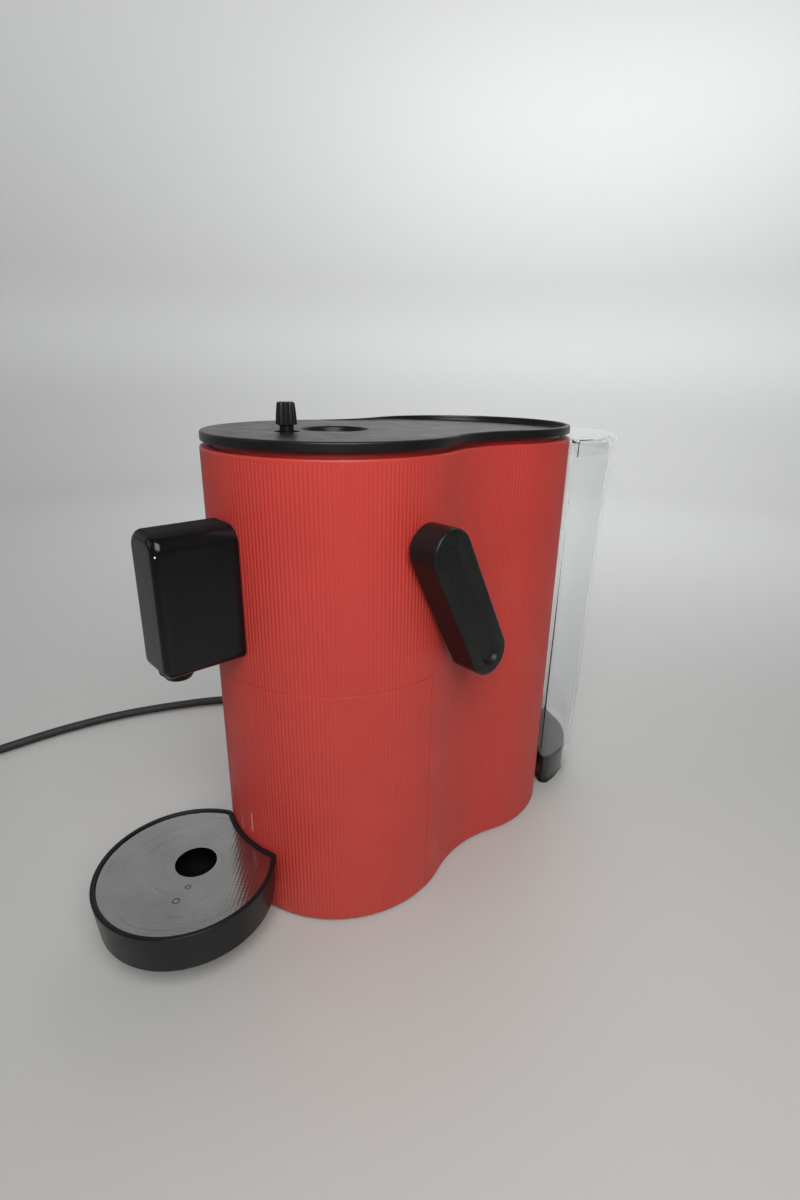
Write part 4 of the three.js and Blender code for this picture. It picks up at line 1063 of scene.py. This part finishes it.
def lever_grip():
    """A thick round-ended bar with a finger recess in its outer face."""

    def bar(shrink):
        """The bar's outline about its two round ends, drawn in all round by shrink."""
        radius = LEVER_R - shrink
        return arc(LEVER_LENGTH, 0, radius, -90, 90, 28) + arc(0, 0, radius, 90, 270, 28)

    corners = [(4, LEVER_INNER, 0), (0, LEVER_INNER, 0.8), (0, LEVER_OUTER, 3), (4, LEVER_OUTER, 0)]
    grip = ladder("lever_grip", bar, filleted(corners, 9), place=on_lever)
    floor, over = LEVER_OUTER - 2.4, LEVER_OUTER + BRIM
    recess = [(11.6, floor, 0), (8, floor, 1.5), (5.8, over, 1), (3.4, over, 0), (3.4, LEVER_OUTER + 2, 0)]
    carve(grip, ladder("tool", bar, filleted(recess, 7), place=on_lever),
          rod(SHAFT_BORE_R, LEVER_INNER - 2, LEVER_INNER + 9, along_x(0, LEVER_Z)))
    return finish_piece(grip, "black_satin", "lever", "lever_handle")


def shaft_bush():
    """The flanged bush that the lever's shaft turns in."""
    bore, radius, flange = SHAFT_BORE_R, 8.2, 10
    face, start, end = FRONT_R + 0.4, 62, LEVER_INNER - GAP
    corners = [(bore, end, 0), (bore, start, 0), (radius, start, 0.3), (radius, face, 0),
               (flange, face, 0.2), (flange, end, 0.5), (bore, end, 0)]
    bush = turned("shaft_bush", filleted(corners)[:-1], 80, joined=True, place=along_x(0, LEVER_Z))
    return finish_piece(bush, "black_satin", "body", "lever_bush")


# ---- drip tray ----

TRAY_TOP_R, TRAY_BOTTOM_R, TRAY_WALL = 48.3, 46.3, 2.5
TRAY_BOTTOM, TRAY_TOP = heights("tray_bowl")
TRAY_CORNER_R = 4
DRAIN_R, DRAIN_Y = 11.2, -101.6
DIAMOND = 2.1
DIAMOND_DEPTH = 0.03


def tray_ring(inset, z):
    """A level of the tray, which narrows downwards and follows the body at its back."""
    share = (z - TRAY_BOTTOM) / (TRAY_TOP - TRAY_BOTTOM)
    radius = TRAY_BOTTOM_R + (TRAY_TOP_R - TRAY_BOTTOM_R) * share - inset
    corner_r = max(TRAY_CORNER_R - inset, 0.8)
    outline = hollow_outline(-TRAY_Y, radius, 0, FRONT_R + GAP + inset, corner_r, 200)
    return [(-x, -y, z) for x, y in outline]


def drip_bowl():
    """A round bowl whose back follows the body, with a slotted block for its magnet."""
    ledge, floor, rim = heights("tray_plate")[0] - GAP, TRAY_BOTTOM + 2.5, TRAY_WALL
    corners = [(6, TRAY_BOTTOM, 0), (0, TRAY_BOTTOM, 1.4), (0, TRAY_TOP, 0.8), (rim, TRAY_TOP, 0.7),
               (rim, ledge, 0), (rim + 2, ledge, 0.3), (rim + 2.6, floor, 2), (rim + 8, floor, 0)]
    bowl = solid("drip_bowl", [tray_ring(inset, z) for inset, z in filleted(corners, 6)])
    low, high = corners_of("tray_magnet")
    around = 1.6
    holder = block(low.x - around, low.y - around, TRAY_BOTTOM + 1,
                   high.x + around, high.y + 0.2, ledge - 0.1)
    carve(bowl, holder, operation="UNION")
    carve(bowl, block(low.x - GAP, low.y - GAP, TRAY_BOTTOM - 1, high.x + GAP, high.y + GAP, high.z + GAP))
    return finish_piece(bowl, "black_satin", "drip_tray", "tray_bowl")


def crease_depth(along, across):
    """0 on the flat of a diamond, 1 in the pressed lines between them."""
    lines = [abs((v / DIAMOND) % 1 - 0.5) * 2 for v in (along, across)]
    return max(ease(line, 0.45, 1) for line in lines)


def drip_plate():
    """A steel disc pressed with fine diamonds, round a drain hole, hollowed where it meets the body."""
    low, high = heights("tray_plate")
    step = DIAMOND / 6
    half = math.ceil((TRAY_TOP_R + 1) / step)
    turn = math.sqrt(0.5)
    steps = [i * step for i in range(-half, half + 1)]
    rows = [[((u - v) * turn, TRAY_Y + (u + v) * turn, high - DIAMOND_DEPTH * crease_depth(u, v))
             for v in steps] for u in steps]
    plate = slab("drip_plate", rows, low)
    inset = TRAY_WALL + GAP
    edge = solid("tool", [[(x, y, z) for x, y, _ in tray_ring(inset, low)] for z in (low - 1, high + 1)])
    carve(plate, edge, operation="INTERSECT")
    carve(plate, rod(DRAIN_R, 0, 100, shift(0, DRAIN_Y), 128))
    return finish_piece(plate, "tray_steel", "tray_plate", "tray_plate", crease=50, weighted=False)


def slab(name, rows, low):
    """A closed slab whose top is a grid of points, over a flat underside at a height."""
    wide, deep = len(rows[0]), len(rows)
    top = [point for row in rows for point in row]
    points = top + [(x, y, low) for x, y, z in top]
    under = len(top)
    faces = []
    for i in range(deep - 1):
        for j in range(wide - 1):
            a, b = i * wide + j, (i + 1) * wide + j
            faces.append((a, b, b + 1, a + 1))
            faces.append((under + a, under + a + 1, under + b + 1, under + b))
    border = list(range(wide)) + [i * wide + wide - 1 for i in range(1, deep)]
    border += [(deep - 1) * wide + j for j in reversed(range(wide - 1))]
    border += [i * wide for i in reversed(range(1, deep - 1))]
    for a, b in zip(border, border[1:] + border[:1]):
        faces.append((a, b, under + b, under + a))
    return skin(name, points, faces)


# ---- water tank ----

TANK_LOBE_R = REAR_R + 1.5
TANK_BOTTOM, TANK_TOP = heights("tank_body")
TANK_FLOOR, FLOOR_TOP = 26, 28.6
TANK_BOTTOM_R, TANK_TOP_R, TANK_WALL = 61.4, 66.3, 2.2
INLET_Y = 188


def tank_ring(inset, z):
    """A level of the tank, which narrows downwards."""
    share = (z - TANK_BOTTOM) / (TANK_TOP - TANK_BOTTOM)
    radius = TANK_BOTTOM_R + (TANK_TOP_R - TANK_BOTTOM_R) * share
    outline = tank_outline(radius - inset, TANK_LOBE_R + inset, 5 - min(inset, 4.4))
    return [(x, y, z) for x, y in outline]


def clear_tank():
    """The tank: one wall all round, a floor above a hollow skirt, and a hole for its valve."""
    wall = TANK_WALL
    corners = [(wall + 2.5, FLOOR_TOP, 0), (wall, FLOOR_TOP, 1.6), (wall, TANK_TOP, 0.5),
               (0, TANK_TOP, 0.5), (0, TANK_BOTTOM, 0.6), (wall, TANK_BOTTOM, 0.6),
               (wall, TANK_FLOOR, 0.8), (wall + 2.5, TANK_FLOOR, 0)]
    tank = solid("clear_tank", [tank_ring(inset, z) for inset, z in filleted(corners)])
    hose_notch = block(-7, 165, 0, 7, 180, HOSE_Z + 6)
    valve_hole = rod(7, 0, 60, shift(0, INLET_Y))
    carve(tank, hose_notch, valve_hole)
    return finish_piece(tank, "clear_plastic", "tank", "tank_body")


def clear_lid():
    """The tank's lid: a thin flange that stands proud, over a wall that reaches into the tank."""
    low, high = heights("tank_lid")
    flange_z, flange_r, wall_top = TANK_TOP + GAP, TANK_TOP_R + 2.2, TANK_TOP + GAP + 0.6
    wall = [(5, wall_top, 0), (2.8, wall_top, 0.8), (2.8, low, 0.4), (0.6, low, 0.5),
            (0.6, flange_z - 0.02, 0)]
    rings = []
    for inset, z in filleted(wall, 4):
        rings.append([(x, y, z) for x, y, _ in tank_ring(TANK_WALL + inset, low)])
    flange = [(0.9, flange_z, 0), (0, flange_z, 0.9), (0, high, 1.1), (3, high - 0.05, 0)]
    for inset, z in filleted(flange, 5):
        outline = tank_outline(flange_r - inset, TANK_LOBE_R + inset, 3.6 - min(inset, 3))
        rings.append([(x, y, z) for x, y in outline])
    return finish_piece(solid("clear_lid", rings), "clear_plastic", "tank_lid", "tank_lid")


def tank_base():
    """The pedestal under the tank, open below."""
    radius, high = 57.2, heights("tank_pedestal")[1]
    lobe_r = TANK_LOBE_R + WALL

    def plan(inset):
        """The pedestal's outline, moved inwards by inset."""
        return tank_outline(radius - inset, lobe_r + inset, 4.5 - min(inset, 3.9))

    corners = [(5, high - WALL, 0), (WALL, high - WALL, 0.6), (WALL, 0, 0.3), (0, 0, 0.4),
               (0, high, 1.1), (3, high, 0)]
    base = ladder("tank_base", plan, filleted(corners))
    back = LOBE_SPACING + REAR_R
    hose_hole = rod(HOSE_HOLE_R, -back - 6, -back + 10, forwards(HOSE_Z))
    valve_hole = rod(5.4, 10, 40, shift(0, INLET_Y))
    carve(base, hose_hole, valve_hole)
    return finish_piece(base, "black_satin", "body", "tank_pedestal")


# ---- used-pod bin ----


def pod_bin():
    """The bin behind the drawer's front: round in front, straight behind."""
    radius, back_y = 63.8, 30
    low, high = heights("container_bin")

    def plan(inset):
        """The bin's outline, moved inwards by inset."""
        reach = radius - inset
        turn = math.degrees(math.asin((back_y - inset) / reach))
        front = arc(0, 0, reach, 180 - turn, 360 + turn, 160)
        right, left = front[-1][0], front[0][0]
        back = [(right + (left - right) * i / 12, back_y - inset) for i in range(12)]
        return front[:-1] + back

    wall = 2
    corners = [(6, low + wall, 0), (wall, low + wall, 2.5), (wall, high, 0.4), (0, high, 0.6),
               (0, low, 1.2), (6, low, 0)]
    bin_piece = ladder("pod_bin", plan, filleted(corners))
    return finish_piece(bin_piece, "dark_plastic", "drawer", "container_bin")


# ---- pieces that keep their CAD shape ----


WELD_REACH, EDGE_WIDTH, EDGE_ANGLE = 0.002, 0.35, 50


def dress_node(name, slot):
    """Gives a CAD node its slot's material, and rounds and shades its edges."""
    node = frame["nodes"][name]
    if node.hide_render:
        return
    node.data.materials.clear()
    node.data.materials.append(MATERIALS[slot])
    node.data.shade_smooth()
    weld = node.modifiers.new("weld", "WELD")
    weld.merge_threshold = WELD_REACH * MM
    bevel = node.modifiers.new("edge", "BEVEL")
    bevel.width = EDGE_WIDTH * MM
    bevel.segments = 2
    bevel.limit_method = "ANGLE"
    bevel.angle_limit = math.radians(EDGE_ANGLE)
    split = node.modifiers.new("crease", "EDGE_SPLIT")
    split.split_angle = math.radians(CREASE)


# ---- the assembly ----

add_camera()
add_lead()
add_floor()
add_studio()
for make in (ribbed_shell, container_skin, collar_band, lid_plate, port_shutter, fluted_knob, gloss_head,
             light_lens, spout_tip, lever_grip, shaft_bush, drip_bowl, drip_plate, clear_tank, clear_lid,
             tank_base, pod_bin):
    make()
for row in frame["record"]["subparts"]:
    dress_node(row["node"], row["material_slot"])
